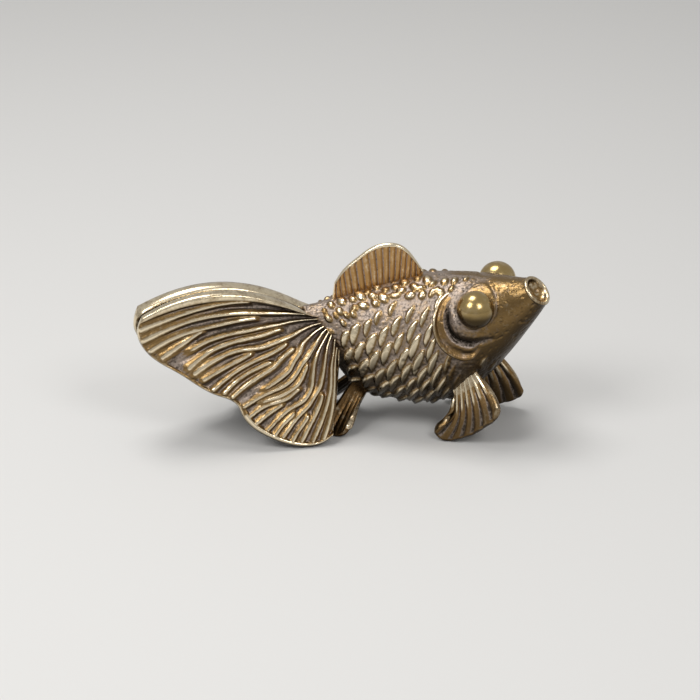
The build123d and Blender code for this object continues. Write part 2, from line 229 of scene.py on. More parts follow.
world = bpy.data.worlds.new("studio")
world.use_nodes = True
scene.world = world
air = world.node_tree
air.nodes.clear()
rays = air.nodes.new("ShaderNodeLightPath").outputs
seen = value_node(air, "ADD", rays["Is Camera Ray"], rays["Is Glossy Ray"])
seen = value_node(air, "ADD", seen, rays["Is Transmission Ray"])
seen.node.use_clamp = True
light_air = air.nodes.new("ShaderNodeBackground")
light_air.inputs["Strength"].default_value = WORLD_LIGHT
pale_air = air.nodes.new("ShaderNodeBackground")
pale_air.inputs["Color"].default_value = WORLD_PALE
either = air.nodes.new("ShaderNodeMixShader")
air.links.new(seen, either.inputs[0])
air.links.new(light_air.outputs[0], either.inputs[1])
air.links.new(pale_air.outputs[0], either.inputs[2])
world_out = air.nodes.new("ShaderNodeOutputWorld")
air.links.new(either.outputs[0], world_out.inputs["Surface"])
print("the air gives", WORLD_LIGHT, "of light and looks", WORLD_PALE[0], "pale")

# %% [markdown]
# ## Aged brass
# Old brass is bright where hands rub it and brown where they can't reach. Each mesh carries two numbers on
# its points. Relief is low in a hollow, middling on plain metal and high on a ridge. Shade is painted shade:
# it is high where the metal faces down or inward, away from the lamps, and it darkens the colour there. One
# node group turns both and some fine grain into colour, roughness and metal, so that every piece ages and is
# shaded in the same way.

# %% Write the node helpers
# The dark patina of the hollows, which is also the colour that painted shade darkens towards
DARK_PATINA_AND_SHADE = (0.035, 0.024, 0.013, 1)
DUSTY_PATINA = (0.37, 0.30, 0.25, 1)
WORN_BRASS = (0.90, 0.77, 0.55, 1)


def smooth_range(tree, value, span, to=(0.0, 1.0)):
    """Map a value smoothly from one range to another."""
    node = tree.nodes.new("ShaderNodeMapRange")
    node.interpolation_type = "SMOOTHSTEP"
    tree.links.new(value, node.inputs["Value"])
    for socket, limit in zip(("From Min", "From Max", "To Min", "To Max"), span + to):
        node.inputs[socket].default_value = limit
    return node.outputs["Result"]


def blend_colours(tree, factor, first, second):
    """Mix two colours, each a socket or a plain colour."""
    node = tree.nodes.new("ShaderNodeMix")
    node.data_type = "RGBA"
    tree.links.new(factor, node.inputs["Factor"])
    for socket, given in zip((node.inputs[6], node.inputs[7]), (first, second)):
        if isinstance(given, tuple):
            socket.default_value = given
        else:
            tree.links.new(given, socket)
    return node.outputs[2]


def fine_noise(tree, place, scale, detail):
    node = tree.nodes.new("ShaderNodeTexNoise")
    node.inputs["Scale"].default_value = scale
    node.inputs["Detail"].default_value = detail
    tree.links.new(place, node.inputs["Vector"])
    return node.outputs["Fac"]


print("patinas:", DARK_PATINA_AND_SHADE[:3], DUSTY_PATINA[:3], "worn brass:", WORN_BRASS[:3])

# %% Build the ageing group
BLOTCH_SCALE = 750.0
BLOTCH_AMOUNT = 0.44
GRAIN_SCALE = 3700.0
DUST_BY_RELIEF = 0.8
# Where along the relief each change starts and ends
CLEAN_SPAN = (0.16, 0.50)
WORN_SPAN = (0.52, 0.86)
DUSTY_SPAN = (0.26, 0.74)
METAL_SPAN = (0.05, 0.40)
DULL_SPAN = (0.10, 0.55)
SHINE_SPAN = (0.50, 0.90)
STILL_SPAN = (0.45, 0.85)
# What roughness, shine, metal and grain change from and to
DULL_ROUGHNESS = (0.46, 0.31)
SHINE_GAIN = (0.0, 0.12)
METAL_SHARES = (0.55, 1.0)
GRAIN_SHARES = (1.0, 0.15)

ageing = bpy.data.node_groups.new("brass_ageing_and_painted_shade", "ShaderNodeTree")
for name in ("Relief", "Shade", "Grain", "Polish"):
    ageing.interface.new_socket(name, in_out="INPUT", socket_type="NodeSocketFloat")
ageing.interface.new_socket("Plain Colour", in_out="INPUT", socket_type="NodeSocketColor")
ageing.interface.new_socket("Colour", in_out="OUTPUT", socket_type="NodeSocketColor")
for name in ("Roughness", "Metal", "Height"):
    ageing.interface.new_socket(name, in_out="OUTPUT", socket_type="NodeSocketFloat")
given = ageing.nodes.new("NodeGroupInput")
made = ageing.nodes.new("NodeGroupOutput")
place = ageing.nodes.new("ShaderNodeTexCoord").outputs["Object"]
blotch = fine_noise(ageing, place, BLOTCH_SCALE, 3)
grain = fine_noise(ageing, place, GRAIN_SCALE, 2)
uneven = value_node(ageing, "MULTIPLY_ADD", blotch, BLOTCH_AMOUNT, -BLOTCH_AMOUNT / 2)
speckle = value_node(ageing, "SUBTRACT", grain, 0.5)
speckle = value_node(ageing, "MULTIPLY", speckle, given.outputs["Grain"])
level = value_node(ageing, "ADD", given.outputs["Relief"], uneven)
level = value_node(ageing, "ADD", level, speckle)
dust = value_node(ageing, "MULTIPLY_ADD", level, DUST_BY_RELIEF, grain)
hollow = blend_colours(ageing, smooth_range(ageing, dust, DUSTY_SPAN), DARK_PATINA_AND_SHADE, DUSTY_PATINA)
clean = smooth_range(ageing, level, CLEAN_SPAN)
worn = smooth_range(ageing, level, WORN_SPAN)
full_colour = blend_colours(ageing, clean, hollow, given.outputs["Plain Colour"])
full_colour = blend_colours(ageing, worn, full_colour, WORN_BRASS)
# Painted shade: where Shade is high, the colour is painted down towards the dark patina
full_colour = blend_colours(ageing, given.outputs["Shade"], full_colour, DARK_PATINA_AND_SHADE)
dull = smooth_range(ageing, level, DULL_SPAN, DULL_ROUGHNESS)
shine = smooth_range(ageing, level, SHINE_SPAN, SHINE_GAIN)
rough = value_node(ageing, "SUBTRACT", dull, shine)
unpolished = value_node(ageing, "SUBTRACT", 1.0, given.outputs["Polish"])
still = smooth_range(ageing, level, STILL_SPAN, GRAIN_SHARES)
ageing.links.new(full_colour, made.inputs["Colour"])
ageing.links.new(value_node(ageing, "MULTIPLY", rough, unpolished), made.inputs["Roughness"])
ageing.links.new(smooth_range(ageing, level, METAL_SPAN, METAL_SHARES), made.inputs["Metal"])
ageing.links.new(value_node(ageing, "MULTIPLY", grain, still), made.inputs["Height"])
print("the ageing group has", len(ageing.nodes), "nodes")

# %% Make the brasses
BUMP_DEPTH = 0.00007


def aged_brass(name, plain_colour, grain_amount, bump_strength, polish=0.0):
    """Brass whose age follows the relief on the mesh."""
    material = bpy.data.materials.new(name)
    material.use_nodes = True
    tree = material.node_tree
    shader = tree.nodes["Principled BSDF"]
    group = tree.nodes.new("ShaderNodeGroup")
    group.node_tree = ageing
    for number in ("Relief", "Shade"):
        attribute = tree.nodes.new("ShaderNodeAttribute")
        attribute.attribute_name = number.lower()
        tree.links.new(attribute.outputs["Fac"], group.inputs[number])
    group.inputs["Grain"].default_value = grain_amount
    group.inputs["Polish"].default_value = polish
    group.inputs["Plain Colour"].default_value = plain_colour
    tree.links.new(group.outputs["Colour"], shader.inputs["Base Color"])
    tree.links.new(group.outputs["Roughness"], shader.inputs["Roughness"])
    tree.links.new(group.outputs["Metal"], shader.inputs["Metallic"])
    bump = tree.nodes.new("ShaderNodeBump")
    bump.inputs["Strength"].default_value = bump_strength
    bump.inputs["Distance"].default_value = BUMP_DEPTH
    tree.links.new(group.outputs["Height"], bump.inputs["Height"])
    tree.links.new(bump.outputs["Normal"], shader.inputs["Normal"])
    return material


# Each brass: its name, plain colour, grain in the ageing and strength of the bump
BRASSES = {
    "body": aged_brass("body_brass", (0.28, 0.175, 0.068, 1), 0.30, 0.8),
    "tail": aged_brass("tail_brass", (0.26, 0.162, 0.064, 1), 0.30, 0.7),
    "fins": aged_brass("fin_brass", (0.27, 0.165, 0.065, 1), 0.26, 0.6),
    "sail": aged_brass("sail_brass", (0.44, 0.255, 0.095, 1), 0.26, 0.6),
    # The anal fins' brass is darker, as painted shade under the belly
    "shaded_fins": aged_brass("shaded_fin_brass", (0.12, 0.068, 0.026, 1), 0.26, 0.6),
    "gill_covers": aged_brass("gill_brass", (0.23, 0.14, 0.055, 1), 0.30, 0.8),
    "eyes": aged_brass("eye_brass", (0.47, 0.335, 0.14, 1), 0.10, 0.10, polish=0.28),
}
print("brasses:", sorted(BRASSES))

# %% [markdown]
# ## From a grid to a piece
# Every piece here is a grid of points that a formula places: rows along, columns across. A grid can be
# thick with detail where a subdivided cage would lose it, and a hollow or ridge on it is only a number to
# add.

# %% Write the piece maker
# Painted shade on faces that look down: how dark it gets at most, and over what fall of the normal it grows
UNDERSIDE_SHADE = 0.95
UNDERSIDE_SPAN = 0.70
FOOT_HEIGHT = 4.0


def smoothstep(low, high, value):
    share = np.clip((value - low) / (high - low), 0, 1)
    return share * share * (3 - 2 * share)


def grid_faces(rows, columns, closed=False):
    """Quads of a grid numbered row by row; a closed grid joins its last column to its first."""
    row, column = np.meshgrid(np.arange(rows - 1), np.arange(columns - (not closed)), indexing="ij")
    beside = (column + 1) % columns
    corners = [row * columns + column, row * columns + beside]
    corners += [(row + 1) * columns + beside, (row + 1) * columns + column]
    return np.stack(corners, -1).reshape(-1, 4)


def add_values(mesh, name, values):
    """Write one number for each point of a mesh."""
    layer = mesh.attributes.new(name, "FLOAT", "POINT")
    layer.data.foreach_set("value", np.asarray(values, np.float32).ravel())


def shade_underside(mesh, shade_from):
    """Paint shade where the metal faces the floor, away from the lamps."""
    normals = np.zeros(3 * len(mesh.vertices), np.float32)
    mesh.vertices.foreach_get("normal", normals)
    shade = np.zeros(len(mesh.vertices), np.float32)
    mesh.attributes["shade"].data.foreach_get("value", shade)
    facing_up = normals.reshape(-1, 3)[:, 2]
    under = UNDERSIDE_SHADE * smoothstep(shade_from, shade_from - UNDERSIDE_SPAN, facing_up)
    mesh.attributes["shade"].data.foreach_set("value", np.maximum(shade, under).astype(np.float32))


def stand(points):
    """Lift the lowest few millimetres of a piece, so that nothing dips under the floor."""
    dip = max(0.0, -points[..., 2].min())
    lift = dip * smoothstep(FOOT_HEIGHT, -dip, points[..., 2])
    return points + lift[..., None] * UPWARD


def make_piece(name, points, faces, relief, material, node, shade_from, painted_shade=0.0):
    """A smooth mesh of the bent fish, in metres, that stands for one solid."""
    mesh = bpy.data.meshes.new(name)
    mesh.from_pydata(((stand(points) + SHIFT) * MM).reshape(-1, 3).tolist(), [], faces.tolist())
    add_values(mesh, "relief", relief)
    # The piece's own painted shade; the underside's painted shade can only deepen it
    add_values(mesh, "shade", np.broadcast_to(painted_shade, relief.shape))
    shape = bmesh.new()
    shape.from_mesh(mesh)
    bmesh.ops.remove_doubles(shape, verts=shape.verts, dist=1e-7)
    bmesh.ops.recalc_face_normals(shape, faces=shape.faces)
    shape.to_mesh(mesh)
    shape.free()
    mesh.shade_smooth()
    shade_underside(mesh, shade_from)
    mesh.materials.append(material)
    piece = bpy.data.objects.new(name, mesh)
    scene.collection.objects.link(piece)
    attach(piece, "root")
    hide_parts(node)
    print(name, "has", len(mesh.vertices), "points and", len(mesh.polygons), "faces")
    return piece


print("a grid of 3 by 4 points has", len(grid_faces(3, 4)), "faces")

# %% [markdown]
# ## The body
# The body is egg-shaped in section, from the tail root to the round lips. The sections are the solid's own,
# joined by a smooth curve. Two lengths are measured on the skin itself, forward along each flank and up
# from the widest line, so that scales keep their size wherever the body swells or narrows.

# %% Draw smooth curves
def lengths_along(line):
    """The distance travelled at each point of a line."""
    steps = np.linalg.norm(np.diff(line, axis=0), axis=-1)
    return np.concatenate([np.zeros((1,) + steps.shape[1:]), np.cumsum(steps, axis=0)])


def cubic_through(stations, values):
    """A smooth curve through values at stations, as a function of the station."""
    stations = np.asarray(stations, float)
    values = np.asarray(values, float)
    count = len(stations)
    gaps = np.diff(stations)
    slopes = np.diff(values, axis=0) / gaps[:, None]
    system = np.eye(count)
    wanted = np.zeros_like(values)
    for i in range(1, count - 1):
        system[i, i - 1:i + 2] = gaps[i - 1], 2 * (gaps[i - 1] + gaps[i]), gaps[i]
        wanted[i] = 6 * (slopes[i] - slopes[i - 1])
    bends = np.linalg.solve(system, wanted)

    def read(at):
        at = np.asarray(at, float)
        i = np.clip(np.searchsorted(stations, at) - 1, 0, count - 2)
        gap = gaps[i][..., None]
        after = (at - stations[i])[..., None] / gap
        before = 1 - after
        straight = before * values[i] + after * values[i + 1]
        curve = (before ** 3 - before) * bends[i] + (after ** 3 - after) * bends[i + 1]
        return straight + curve * gap ** 2 / 6

    return read


print("a curve through 0, 1 and 0 starts at", cubic_through((0, 1, 2), ((0,), (1,), (0,)))(np.zeros(1))[0, 0])

# %% Shape the skin
# Each row: belly forward and up, back forward and up, width, and the way up from belly to the widest place,
# as shares of the body's length, height and width. The last row is the lips.
BODY_SECTION_SHARES = np.array((
    (0.015, 0.55, 0.000, 0.75, 0.21, 0.50),
    (0.090, 0.39, 0.063, 0.76, 0.36, 0.50),
    (0.185, 0.15, 0.163, 0.82, 0.64, 0.50),
    (0.304, 0.04, 0.281, 0.88, 0.87, 0.48),
    (0.459, 0.00, 0.452, 0.97, 1.00, 0.48),
    (0.607, 0.04, 0.600, 1.00, 1.00, 0.54),
    (0.745, 0.21, 0.711, 1.01, 0.88, 0.62),
    (0.862, 0.47, 0.800, 1.02, 0.66, 0.60),
    (0.938, 0.69, 0.867, 1.03, 0.45, 0.54),
    (1.000, 0.876, 0.910, 1.044, 0.3125, 0.50),
))
SKIN_ROWS = 280
SKIN_COLUMNS = 320

belly = BODY_SECTION_SHARES[:, 0:2] * (BODY_LENGTH, BODY_HEIGHT)
ridge = BODY_SECTION_SHARES[:, 2:4] * (BODY_LENGTH, BODY_HEIGHT)
waist = belly + BODY_SECTION_SHARES[:, 5:6] * (ridge - belly)
travelled = lengths_along(waist)
section_at = cubic_through(travelled / travelled[-1], BODY_SECTION_SHARES)


def grid_normals(points, closed=False):
    """Unit normals of a grid, from its neighbours."""
    down = np.gradient(points, axis=0)
    if closed:
        across = np.roll(points, -1, 1) - np.roll(points, 1, 1)
    else:
        across = np.gradient(points, axis=1)
    normal = np.cross(down, across)
    return normal / np.maximum(np.linalg.norm(normal, axis=-1, keepdims=True), 1e-12)


def skin(along, angle):
    """Points of the body's skin; the angle turns from its left over its back to its right."""
    rows = section_at(along)
    low = rows[..., 0:2] * (BODY_LENGTH, BODY_HEIGHT)
    rise = rows[..., 2:4] * (BODY_LENGTH, BODY_HEIGHT) - low
    middle = low + rows[..., 5:6] * rise
    spine, heading, leftward = spine_axes(middle[..., 0])
    upward = heading * rise[..., 0:1] + rise[..., 1:2] * UPWARD
    reach = np.where(np.sin(angle) > 0, 1 - rows[..., 5], rows[..., 5]) * np.sin(angle)
    level = (BELLY_HEIGHT + middle[..., 1])[..., None] * UPWARD
    sideways = (rows[..., 4] * BODY_WIDTH / 2 * np.cos(angle))[..., None]
    return spine + level + leftward * sideways + upward * reach[..., None]


skin_along = np.linspace(0, 1, SKIN_ROWS)[:, None] + np.zeros((1, SKIN_COLUMNS))
skin_angle = np.arange(SKIN_COLUMNS)[None, :] * 2 * math.pi / SKIN_COLUMNS + np.zeros((SKIN_ROWS, 1))
skin_points = skin(skin_along, skin_angle)
skin_normals = -grid_normals(skin_points, closed=True)
print("skin faces outward:", bool(skin_normals[SKIN_ROWS // 2, 0] @ spine_axes(SPINE_VERTEX)[2] > 0))

# %% Measure the skin
RIGHT_LINE = SKIN_COLUMNS // 2
on_right = np.cos(skin_angle) < 0
right_forward = lengths_along(skin_points[:, RIGHT_LINE])[:, None]
left_forward = lengths_along(skin_points[:, 0])[:, None]
ring_steps = np.linalg.norm(np.roll(skin_points, -1, 1) - skin_points, axis=-1)
turned = np.cumsum(ring_steps, axis=1) - ring_steps
girth = ring_steps.sum(axis=1, keepdims=True)
left_up = np.where(skin_angle < math.pi, turned, turned - girth)
right_up = turned[:, RIGHT_LINE:RIGHT_LINE + 1] - turned
SKIN_FORWARD = np.where(on_right, right_forward, left_forward)
SKIN_UP = np.where(on_right, right_up, left_up)
BACK_COLUMN = SKIN_COLUMNS // 4
back_line_up = left_up[:, BACK_COLUMN]
belly_line_up = left_up[:, 3 * BACK_COLUMN]


def back_up(forward):
    """How far up the skin the back's ridge lies."""
    return np.interp(forward, left_forward[:, 0], back_line_up)


def belly_up(forward):
    """How far down the skin the belly's line lies, below zero."""
    return np.interp(forward, left_forward[:, 0], belly_line_up)


print("right flank", right_forward[-1, 0].round(1), "mm, girth up to", girth.max().round(1), "mm")

# %% [markdown]
# ## Scales
# The scales are pods that lean forward, in staggered rows over the lower flank. Each has a full round edge
# towards the tail and fades towards the head. A lattice of two steps places them, a seeded table shifts
# each one a little, and every point of the skin only asks its nine nearest pods how high it stands.

# %% Place the scales
SCALE_STEP_FORWARD = np.array([1.38, 1.20])
SCALE_STEP_DOWN = np.array([0.37, -1.88])
SCALE_ANCHOR = np.array([10.3, -1.0])
SCALE_LENGTH = 3.20
SCALE_CURL = 0.20
SCALE_LEAN = math.radians(68)
SCALE_TAILWARD = 0.74
SCALE_HEADWARD = 0.46
SCALE_HEIGHT = 0.42
# How large the scales are at each way up the skin
SCALE_SIZES = np.array(((-2.0, 1.02), (0.0, 0.98), (2.5, 0.90), (4.0, 0.76), (6.0, 0.62)))
# Where they end: round the gill cover, at both ends, above the belly's line, under the beads
GILL_SPOT = np.array([19.6, 2.6])
GILL_CLEARANCE = 5.02
SCALES_FROM, SCALES_TO = 4.4, 22.5
CHEEK_FROM = 18.0
THROAT_UP = -4.6
BELLY_MARGIN = 0.9
BEAD_MARGIN = 0.45
LATTICE_HALF = 24

dice = np.random.default_rng(11)
scale_shift = dice.uniform(-0.11, 0.11, (2 * LATTICE_HALF, 2 * LATTICE_HALF, 2))
scale_size = dice.uniform(0.88, 1.10, (2 * LATTICE_HALF, 2 * LATTICE_HALF))

# The edge between the beaded back and the scaled flank: forward, up
BEAD_EDGE = np.array((
    (2.2, 0.0), (3.0, 0.4), (5.0, 2.6), (6.4, 4.4), (8.0, 5.6), (9.5, 6.2), (12.0, 6.6), (17.0, 6.6),
))


def bead_edge(forward):
    return np.interp(forward, BEAD_EDGE[:, 0], BEAD_EDGE[:, 1])


def scale_wanted(spot):
    """Which pods exist: on the flank under the beads, behind the gill, and small ones on the throat."""
    forward, up = spot[..., 0], spot[..., 1]
    off_gill = np.hypot(forward - GILL_SPOT[0], up - GILL_SPOT[1]) > GILL_CLEARANCE
    on_throat = (forward < CHEEK_FROM) | (up < THROAT_UP)
    held = (up > belly_up(forward) + BELLY_MARGIN) & (up < bead_edge(forward) - BEAD_MARGIN)
    return off_gill & on_throat & held & (forward > SCALES_FROM) & (forward < SCALES_TO)


print("scales run from", SCALES_FROM, "to", SCALES_TO, "mm along the skin")

# %% Raise the scales
# Across a pod, shares of its width: the crest, and the start of its fall
POD_CREST, POD_FALL = 0.30, 0.70
POD_SLOPE = 0.40
POD_TAPER = 0.75
# Towards the head the scales shrink and sink
SHRINK_SPAN, SHRINK = (15.5, 19.5), 0.30
SINK_SPAN, SINK = (15.6, 17.4), 0.5


def pod(along, across, length, tailward, headward):
    """Height from 0 to 1 of a pod: along its length, and across it from its tail side to its head side."""
    taper = np.clip(1 - (2 * along / length) ** 2, 0, 1) ** POD_TAPER
    start = SCALE_CURL * (1 - taper) - tailward * taper
    width = np.maximum((tailward + headward) * taper, 1e-6)
    share = (across - start) / width
    slope = 1 - POD_SLOPE * smoothstep(POD_CREST, POD_FALL, share)
    crest = smoothstep(0, POD_CREST, share) * slope * (1 - smoothstep(POD_FALL, 1, share))
    return np.where((share > 0) & (share < 1), crest, 0) * np.sqrt(taper)


def scale_field(forward, up):
    """Height from 0 to 1 of the nearest pod at each place on the skin."""
    steps = np.stack([SCALE_STEP_FORWARD, SCALE_STEP_DOWN], -1)
    place = np.stack([forward, up], -1)
    nearest = np.rint((place - SCALE_ANCHOR) @ np.linalg.inv(steps).T).astype(int)
    lean = np.array([math.cos(SCALE_LEAN), math.sin(SCALE_LEAN)])
    side = np.array([math.sin(SCALE_LEAN), -math.cos(SCALE_LEAN)])
    height = np.zeros_like(forward)
    for row in (-1, 0, 1):
        for column in (-1, 0, 1):
            cell = nearest + (row, column)
            index = np.clip(cell + LATTICE_HALF, 0, 2 * LATTICE_HALF - 1)
            spot = SCALE_ANCHOR + cell @ steps.T + scale_shift[index[..., 0], index[..., 1]]
            size = scale_size[index[..., 0], index[..., 1]]
            size = size * np.interp(spot[..., 1], SCALE_SIZES[:, 0], SCALE_SIZES[:, 1])
            size = size * (1 - SHRINK * smoothstep(*SHRINK_SPAN, spot[..., 0]))
            offset = (place - spot) / size[..., None]
            shape = pod(offset @ lean, offset @ side, SCALE_LENGTH, SCALE_TAILWARD, SCALE_HEADWARD)
            low = 1 - SINK * smoothstep(*SINK_SPAN, spot[..., 0])
            height = np.maximum(height, np.where(scale_wanted(spot), shape * size * low, 0))
    return height


scale_height = SCALE_HEIGHT * scale_field(SKIN_FORWARD, SKIN_UP)
print("scales cover", round(100 * float((scale_height > 0.02).mean())), "percent of the skin")

# %% [markdown]
# ## Beads
# Along the back the fish carries beads, drops and bent blobs. The ones that show are a table: forward, up,
# radius, how much longer than wide, and the turn of the long way. A seeded draw fills the top of the back,
# where none can be seen.

# %% Raise the beads
BEADS = (
    (2.80, 2.86, 0.25, 1.5, 60), (2.89, 0.64, 0.28, 1.3, 40), (3.11, 2.27, 0.30, 1.6, 40),
    (3.33, 0.98, 0.20, 1.2, 40), (3.78, 4.27, 0.30, 1.6, 60), (4.15, 3.16, 0.25, 1.3, 55),
    (4.70, 3.94, 0.31, 1.4, 55), (4.96, 2.79, 0.31, 1.1, 40), (5.15, 5.46, 0.34, 1.6, 65),
    (5.50, 3.90, 0.29, 1.1, 40), (6.30, 4.40, 0.31, 1.3, 60), (6.44, 6.23, 0.32, 1.2, 60),
    (6.60, 5.19, 0.27, 1.4, 60), (7.30, 7.00, 0.44, 1.2, 90), (7.55, 5.75, 0.34, 1.5, 20),
    (8.15, 7.88, 0.26, 1.9, 70), (8.63, 7.23, 0.34, 1.1, 60), (8.89, 6.30, 0.33, 1.1, 40),
    (9.00, 8.79, 0.36, 1.3, 90), (9.67, 7.08, 0.38, 1.4, 110), (9.89, 8.20, 0.27, 1.2, 90),
    (10.60, 9.70, 0.30, 1.4, 90), (10.70, 7.38, 0.28, 1.8, 0), (10.80, 8.57, 0.30, 1.2, 90),
    (11.37, 8.00, 0.33, 1.1, 0), (11.60, 9.20, 0.33, 1.6, 100), (12.26, 7.23, 0.37, 1.1, 0),
    (12.60, 8.30, 0.30, 1.7, 120), (12.80, 9.70, 0.30, 1.7, 95), (13.20, 7.95, 0.30, 1.6, 10),
    (13.50, 7.07, 0.32, 1.2, 90), (13.80, 9.10, 0.33, 1.9, 105), (14.40, 8.30, 0.30, 1.3, 60),
    (14.50, 7.10, 0.30, 1.5, 70), (15.00, 7.25, 0.28, 1.5, 120), (15.40, 6.85, 0.30, 1.5, 125),
    (15.67, 8.30, 0.33, 1.6, 110), (16.67, 6.75, 0.28, 1.3, 110), (16.83, 7.90, 0.33, 1.7, 110),
    (18.30, 7.40, 0.28, 1.6, 110),
)
BEAD_HEIGHT_SHARE = 0.70
BEAD_GROWTH = 1.38
BEAD_WINDOW = 1.3
# The fill: steps, where it runs, how far a bead strays, its radius and its stretch
FILL_STEP = 1.15
FILL_ROW_STEP = 0.9 * FILL_STEP
FILL_FORWARD = (2.2, 18.6)
FILL_UP = (3.4, 13.0)
FILL_STRAY = 0.28
FILL_RADII = (0.25, 0.40)
FILL_STRETCHES = (1.0, 1.6)
RIDGE_FADE = (0.1, 0.7)
# Above this edge the photograph shows nothing: forward, up
SEEN_EDGE = np.array((
    (2.0, 3.4), (4.0, 5.0), (7.5, 8.6), (10.0, 10.0), (13.0, 10.4), (17.0, 9.0), (20.0, 7.9),
))

bead_rows = [
    (forward, up, BEAD_GROWTH * radius, stretch, math.radians(turn))
    for forward, up, radius, stretch, turn in BEADS
]
for forward in np.arange(*FILL_FORWARD, FILL_STEP):
    for up in np.arange(*FILL_UP, FILL_ROW_STEP):
        spot = np.array([forward, up]) + dice.uniform(-FILL_STRAY, FILL_STRAY, 2) * FILL_STEP
        radius = dice.uniform(*FILL_RADII)
        stretch = dice.uniform(*FILL_STRETCHES)
        turn = dice.uniform(0, math.pi)
        unseen = spot[1] > np.interp(spot[0], SEEN_EDGE[:, 0], SEEN_EDGE[:, 1])
        if unseen and spot[1] < back_up(spot[0]) - stretch * radius:
            bead_rows.append((spot[0], spot[1], radius, stretch, turn))


def soften(height, passes, closed=False):
    """Blur a grid of heights by averaging neighbours a number of times."""
    for _ in range(passes):
        padded = np.pad(height, ((1, 1), (0, 0)), mode="edge")
        height = (padded[:-2] + 2 * height + padded[2:]) / 4
        padded = np.pad(height, ((0, 0), (1, 1)), mode="wrap" if closed else "edge")
        height = (padded[:, :-2] + 2 * height + padded[:, 2:]) / 4
    return height


def bead_field(forward, up, rows):
    """Height in millimetres of the beads at each place on the skin."""
    height = np.zeros_like(forward)
    for spot_forward, spot_up, radius, stretch, turn in rows:
        near = (abs(forward - spot_forward) < BEAD_WINDOW) & (abs(up - spot_up) < BEAD_WINDOW)
        ahead = forward[near] - spot_forward
        above = up[near] - spot_up
        along = ahead * math.cos(turn) + above * math.sin(turn)
        across = above * math.cos(turn) - ahead * math.sin(turn)
        inside = np.clip(1 - (along / stretch) ** 2 / radius ** 2 - across ** 2 / radius ** 2, 0, 1)
        shape = BEAD_HEIGHT_SHARE * radius * np.sqrt(inside)
        height[near] = np.maximum(height[near], shape)
    return height


ridge_up = np.where(on_right, right_up[:, [BACK_COLUMN]], left_up[:, [BACK_COLUMN]])
under_ridge = smoothstep(*RIDGE_FADE, ridge_up - SKIN_UP)
bead_height = bead_field(SKIN_FORWARD, SKIN_UP, bead_rows) * under_ridge
skin_height = soften(np.maximum(scale_height, bead_height), 1, closed=True)
print(len(bead_rows), "beads on each side")

# %% [markdown]
# ## Cheeks and eye rings
# Below each eye a smooth cheek swells and ends behind in a deep crease, where the gill cover starts. Each
# eye sits in a narrow groove. Both are measured round a centre in the plane of the cheek, not along the
# skin.

# %% Swell the cheeks
GILL_FORWARD = 0.75 * BODY_LENGTH
GILL_UP = BELLY_HEIGHT + 0.785 * BODY_HEIGHT
GILL_RADIUS = 4.5
CHEEK_RADIUS = 3.15
CHEEK_RISE = 0.55
CHEEK_SWELL = 0.45
CREASE_DEPTH = 0.50
CREASE_WIDTH = 0.20
EYE_GROOVE_DEPTH = 0.12
EYE_GROOVE_WIDTH = 0.14
EYE_GROOVE_OUT = 0.06
CREASE_IN = 0.04
# Round the cheek, in degrees, where its crease comes in and dies out; and where its swelling ends
CREASE_START, CREASE_END = (158, 196), (275, 312)
CHEEK_EDGE = (0.66, 0.96)


def bump_at(value, centre, width):
    """A soft bump, one high, at a centre."""
    return np.exp(-((value - centre) / width) ** 2)


gill_spine, gill_heading, gill_leftward = spine_axes(GILL_FORWARD)
from_cheek = skin_points - gill_spine
cheek_ahead = from_cheek @ gill_heading
cheek_above = skin_points[..., 2] - GILL_UP - CHEEK_RISE
cheek_reach = np.hypot(cheek_ahead, cheek_above)
cheek_turn = np.degrees(np.arctan2(cheek_above, cheek_ahead)) % 360
behind_cheek = smoothstep(*CREASE_START, cheek_turn) * (1 - smoothstep(*CREASE_END, cheek_turn))
skin_swell = CHEEK_SWELL * (1 - smoothstep(*CHEEK_EDGE, cheek_reach / CHEEK_RADIUS)) * behind_cheek
skin_carving = -CREASE_DEPTH * bump_at(cheek_reach, CHEEK_RADIUS - CREASE_IN, CREASE_WIDTH) * behind_cheek
for side in SIDES.values():
    eye_axis = spine_axes(EYE_FORWARD)[2] * side
    offset = skin_points - eye_centre(side)
    depth = offset @ eye_axis
    ring = np.linalg.norm(offset - depth[..., None] * eye_axis, axis=-1)
    near_eye = depth > -EYE_SPAN / 2
    skin_carving -= EYE_GROOVE_DEPTH * bump_at(ring, EYE_RADIUS + EYE_GROOVE_OUT, EYE_GROOVE_WIDTH) * near_eye
print("deepest crease", round(float(-skin_carving.min()), 2), "mm")

# %% Roughen the skin
LUMP_SIZE = 2.6
LUMP_DEPTH = 0.07
PIT_SIZE = 0.42
PIT_DEPTH = 0.05
GRIT_SIZE = 0.26
GRIT_DEPTH = 0.055
PIT_SPAN = (0.25, 0.55)
GRIT_SPAN = (0.20, 0.04)
BACK_SPAN = (22.0, 17.5)
# Relief of the bare head, how much lower the bare back is, and what each kind of height adds
HEAD_RELIEF = 0.50
BACK_LOWER = 0.26
CARVING_RELIEF = 1.1
GRIT_RELIEF = 1.5
RAISED_RELIEF = 0.32
RAISED_SPAN = (0.02, 0.12)
BEAD_CREST_SPAN, SCALE_CREST_SPAN = (0.19, 0.37), (0.15, 0.29)


def roughen(points, size):
    """Seeded noise at points, for lumps of about that size."""
    flat = points.reshape(-1, 3) / size
    values = [noise.noise(Vector(point)) for point in flat]
    return np.array(values).reshape(points.shape[:-1])


